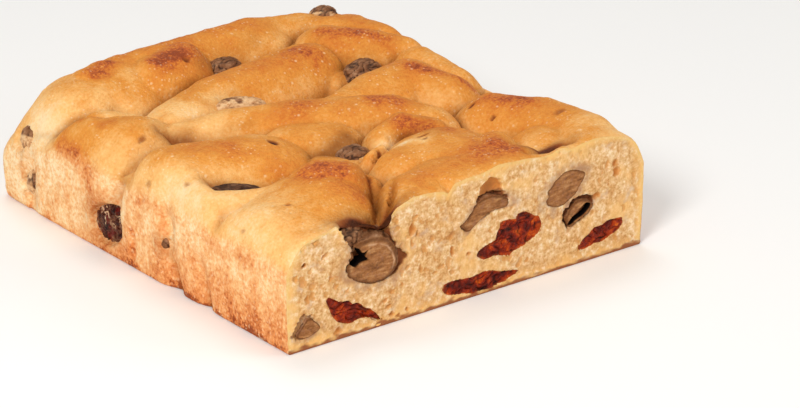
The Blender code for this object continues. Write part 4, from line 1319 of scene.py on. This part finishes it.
def crustMaterial():
    made, start = newMaterial("crust")
    fine, coarse, grains = start.noise(1.0, 4.0), start.noise(5.0, 3.0), start.noise(2.2, 3.0)
    side = start.attribute("side")
    specks, large, small = start.cells(1.6), start.cells(3.6), start.cells(0.8)
    bake = start.attribute("bake")
    net = (small.between(0.1, 0.6) - 0.6) * 0.14 + fine * 0.4 + grains * 0.4
    streaks = start.noise(5.0, 3.0, (1.0, 1.0, 2.2))
    level = bake + fine * 0.38 + grains * 0.18 + coarse * 0.22 + net * bake.between(0.58, 0.8)
    level = level + (grains * 0.56 + fine * 0.5 + streaks * 0.55) * side
    colour = level.ramp(crustColours).tint(level.ramp(wallColours), side)
    bright = (1 - specks.between(0.10, 0.30)) * start.noise(9.0).between(-0.06, 0.15)
    bright = bright + (1 - large.between(0.08, 0.20)) * start.noise(14.0).between(-0.05, 0.15)
    colour = colour.tint((255, 228, 184), bright.held() * 0.5)
    flakes = 1 - start.cells(1.5, (1.0, 1.0, 1.4)).between(0.12, 0.42)
    colour = colour.tint((253, 216, 166), flakes * side * start.noise(7.0).between(-0.2, 0.1) * 0.5)
    # painted shade, golden brown, in the creases, folds and low places
    shade = start.attribute("shade") * (1 + coarse * 0.6)
    colour = colour.tint((150, 88, 34), (shade * 0.85).held())
    colour = colour.tint((246, 190, 112), start.attribute("inside") * (1 - start.attribute("shade")))
    # dark: the flecks' own colour, and painted shadow in the notch, a dent, a crack, the slit and round the
    # olives
    dark = (start.attribute("dark") * (1 + fine * 0.5)).held()
    colour = colour.tint((150, 72, 28), dark * (2 - dark))
    colour = colour.tint((60, 28, 11), dark * dark * 0.95)
    roughness = 0.55 + fine * 0.3
    height = start.noise(0.45, 3.0) * 0.6 + fine * 1.1 + grains * side * 0.4
    normal = start.bump(height - specks.between(0.0, 0.25) * 0.15, 0.42)
    constants = {
        "Subsurface Weight": 0.06, "Subsurface Radius": (1.0, 0.45, 0.2), "Subsurface Scale": 0.0012,
        "Specular IOR Level": 0.14,
    }
    finishMaterial(start, colour, roughness, normal, constants)
    return made


def crumbMaterial():
    made, start = newMaterial("crumb")
    fine, strands, broad = start.noise(0.7, 4.0), start.noise(1.8, 3.0), start.noise(9.0, 2.0)
    clouds = start.noise(3.6, 2.0)
    colour = (0.5 + broad * 0.5 + clouds * 0.8 + strands * 1.1 + fine * 0.9).ramp([
        (0.1, (186, 126, 62)), (0.38, (213, 161, 99)), (0.6, (229, 187, 133)),
        (0.9, (246, 218, 179)),
    ])
    colour = colour.tint((240, 186, 108), start.noise(13.0, 2.0).between(0.0, 0.2) * 0.6)
    colour = colour.tint((206, 176, 152), start.noise(5.5, 3.0).between(0.05, 0.25) * 0.55)
    # painted shade in the pores: the deeper a pore, the darker and more orange
    pore = start.attribute("pore") + fine * 0.10
    colour = colour.tint((206, 142, 70), pore.between(0.06, 0.26) * 0.75)
    colour = colour.tint((194, 116, 38), pore.between(0.35, 0.9) * 0.9)
    colour = colour.tint((150, 84, 30), pore.between(1.3, 2.6) * 0.8)
    near = 1 - (start.attribute("rim") + strands * 3.0 + clouds * 5.0).between(0.2, 4.4)
    colour = colour.tint((249, 194, 114), near * 0.7)
    # painted shade in the gaps beside the cut pieces
    colour = colour.tint((128, 66, 18), (start.attribute("pocket") + fine).between(0.3, 1.5))
    colour = colour.tint((150, 84, 40), start.attribute("foot"))
    outside = 1 - start.attribute("pocket").between(0.2, 1.0)
    colour = colour.tint((168, 122, 88), start.attribute("stain") * outside)
    height = fine * 0.7 + strands * 0.3 + start.noise(0.25, 2.0) * 0.2
    normal = start.bump(height, 0.14)
    constants = {"Subsurface Weight": 0.2, "Subsurface Radius": (1.0, 0.5, 0.25), "Subsurface Scale": 0.0015}
    finishMaterial(start, colour, 0.8, normal, constants)
    return made


def oliveMaterial():
    made, start = newMaterial("olive")
    fine, coarse = start.noise(0.9, 4.0), start.noise(3.0, 3.0, (1.6, 1.0, 0.6))
    skin = (0.5 + coarse * 1.2 + fine * 0.6).ramp([
        (0.0, (66, 36, 20)), (0.40, (120, 76, 46)), (0.65, (156, 110, 76)),
        (1.0, (204, 166, 130)),
    ])
    # painted shade in the wrinkles of the whole olives, and over the olive in the slit; on the cut olives'
    # bodies, darker patches at random
    skin = skin.tint((34, 16, 8), (start.attribute("crease") + fine * 0.6).between(0.45, 1.25) * 0.8)
    grain = start.noise(2.4, 3.0, (2.0, 1.0, 0.45))
    flesh = (0.5 + grain * 1.5 + fine * 0.7 + coarse * 0.8).ramp([
        (0.0, (100, 56, 24)), (0.5, (158, 102, 56)), (1.0, (200, 150, 98)),
    ])
    flesh = flesh.tint((150, 108, 90), start.noise(2.0, 3.0).between(0.0, 0.2) * 0.3)
    flesh = flesh.tint((92, 52, 22), start.noise(2.6, 4.0).between(0.04, 0.22) * 0.55)
    flesh = flesh.tint((100, 58, 26), start.attribute("rimBand") * (0.8 + coarse).held())
    flesh = flesh.tint((216, 172, 134), start.attribute("line") * 0.7)
    colour = skin.tint(flesh, start.attribute("cut"))
    dough = (0.5 + fine + coarse * 1.6).ramp([
        (0.15, (150, 102, 62)), (0.4, (202, 152, 104)), (0.7, (230, 190, 142)),
    ])
    colour = colour.tint(dough, start.attribute("film"))
    # the pit hole painted near black, as painted shade deep in the hole
    hole = start.attribute("hole").between(0.0, 0.15)
    colour = colour.tint((14, 4, 2), hole)
    normal = start.bump(fine + start.noise(0.3, 2.0) * 0.3, 0.25)
    constants = {"Coat Weight": 0.02, "Coat Roughness": 0.25, "Specular IOR Level": 0.13}
    finishMaterial(start, colour, 0.45 + fine * 0.2 + hole * 0.5, normal, constants)
    return made


def tomatoMaterial():
    made, start = newMaterial("tomato")
    fine, coarse = start.noise(0.8, 4.0), start.noise(3.6, 3.0)
    flesh = (0.5 + coarse * 1.9 + fine * 0.7).ramp([
        (0.0, (50, 7, 2)), (0.35, (98, 18, 3)), (0.6, (144, 38, 4)),
        (0.85, (192, 76, 10)), (1.0, (214, 108, 26)),
    ])
    # painted shade in the deep folds of a cut tomato's face and in the wrinkles of the whole one
    flesh = flesh.tint((30, 6, 2), start.attribute("deep").between(0.55, 1.3))
    flesh = flesh.tint((210, 96, 20), start.attribute("edge") * (0.4 + coarse * 2.4).held())
    skin = (0.5 + coarse * 1.5 + fine * 0.9).ramp([
        (0.2, (32, 10, 5)), (0.42, (72, 28, 15)), (0.6, (104, 62, 42)),
        (0.85, (158, 116, 84)),
    ])
    net = start.noise(4.4, 2.0)
    threads = 1 - start.maths("ABSOLUTE", net).between(0.01, 0.05)
    skin = skin.tint((104, 20, 6), start.noise(4.4, 2.0).between(0.03, 0.12) * 0.85)
    skin = skin.tint((226, 188, 148), threads * start.noise(6.0).between(0.0, 0.12) * 0.8)
    flesh = flesh.tint(skin, start.attribute("burnt"))
    normal = start.bump(fine + start.noise(0.3, 2.0) * 0.3, 0.25)
    constants = {
        "Coat Weight": 0.03, "Coat Roughness": 0.12, "Subsurface Weight": 0.12,
        "Subsurface Radius": (1.0, 0.25, 0.1), "Subsurface Scale": 0.0015, "Specular IOR Level": 0.12,
    }
    finishMaterial(start, flesh, 0.4 + fine * 0.2, normal, constants)
    return made


print("making the crust and the crumb")
crustPiece, loop = makeCrust()
dress(crustPiece, crustMaterial(), "bread", "bread")
dress(makeCrumb(loop), crumbMaterial(), "bread", "bread")

print("making the olives and the tomatoes")
looks = {"olive": oliveMaterial(), "tomato": tomatoMaterial()}
for number, name in enumerate(topOlives):
    dress(makeTopOlive(name, 100 + 10 * number), looks["olive"], "olive", name)
for number, name in enumerate(cutOlives):
    dress(makeCutOlive(name, 200 + 10 * number), looks["olive"], "olive", name)
for name in cutTomatoes:
    dress(makeCutTomato(name), looks["tomato"], "tomato", name)
for name, lump in sidePieces.items():
    slot = name.split("_")[0]
    dress(makeLump(name, *lump), looks[slot], slot, name)


# Floor, light and camera
camera = {
    "azimuth": -37.8,
    "elevation": 22.3,
    "distance": 1156.25,
    "aim": (0.8325, -47.175, 20.35),
    "lens": 155.8,       # for a frame 36 wide
}
studio = {
    "floorSize": 4.0,
    "floorLow": 0.00005,
    "floorColour": paint(252, 251, 249),
    "world": (1.0, 0.99, 0.975),
    "worldStrength": 0.42,
    # place in metres round the loaf, size, power, colour
    "areas": [
        ((-0.85, -0.55, 0.75), 0.40, 9.8, (1.0, 0.99, 0.97)),
        ((0.75, -0.70, 0.50), 0.8, 2.8, (1.0, 0.99, 0.97)),
        ((0.2, 0.45, 1.1), 0.6, 3.0, (1.0, 1.0, 1.0)),
    ],
}


def makeFloor():
    half = studio["floorSize"] / 2
    low = -studio["floorLow"]
    mesh = bpy.data.meshes.new("floor")
    corners = [(-half, -half, low), (half, -half, low), (half, half, low), (-half, half, low)]
    mesh.from_pydata(corners, [], [(0, 1, 2, 3)])
    made, start = newMaterial("floor")
    finishMaterial(start, studio["floorColour"], 0.6, start.bump(start.noise(3.0), 0.01))
    mesh.materials.append(made)
    floor = bpy.data.objects.new("floor", mesh)
    bpy.context.scene.collection.objects.link(floor)


def makeLights():
    world = bpy.data.worlds.new("studio")
    world.use_nodes = True
    background = world.node_tree.nodes["Background"]
    background.inputs["Color"].default_value = (*studio["world"], 1)
    background.inputs["Strength"].default_value = studio["worldStrength"]
    bpy.context.scene.world = world
    for number, (place, size, power, colour) in enumerate(studio["areas"]):
        lamp = bpy.data.lights.new(f"area{number}", "AREA")
        lamp.shape, lamp.size, lamp.energy, lamp.color = "DISK", size, power, colour
        holder = bpy.data.objects.new(f"area{number}", lamp)
        holder.location = place
        holder.rotation_euler = (-Vector(place)).to_track_quat("-Z", "Y").to_euler()
        bpy.context.scene.collection.objects.link(holder)


def makeCamera():
    a, e = math.radians(camera["azimuth"]), math.radians(camera["elevation"])
    back = Vector((math.sin(a) * math.cos(e), -math.cos(a) * math.cos(e), math.sin(e)))
    lens = bpy.data.cameras.new("camera")
    lens.lens, lens.sensor_width, lens.sensor_fit = camera["lens"], 36.0, "HORIZONTAL"
    holder = bpy.data.objects.new("camera", lens)
    holder.location = (Vector(camera["aim"]) + back * camera["distance"]) * mm
    holder.rotation_euler = (-back).to_track_quat("-Z", "Y").to_euler()
    bpy.context.scene.collection.objects.link(holder)
    bpy.context.scene.camera = holder


print("setting up the studio")
makeFloor()
makeLights()
makeCamera()
bpy.context.scene.view_settings.view_transform = "Standard"
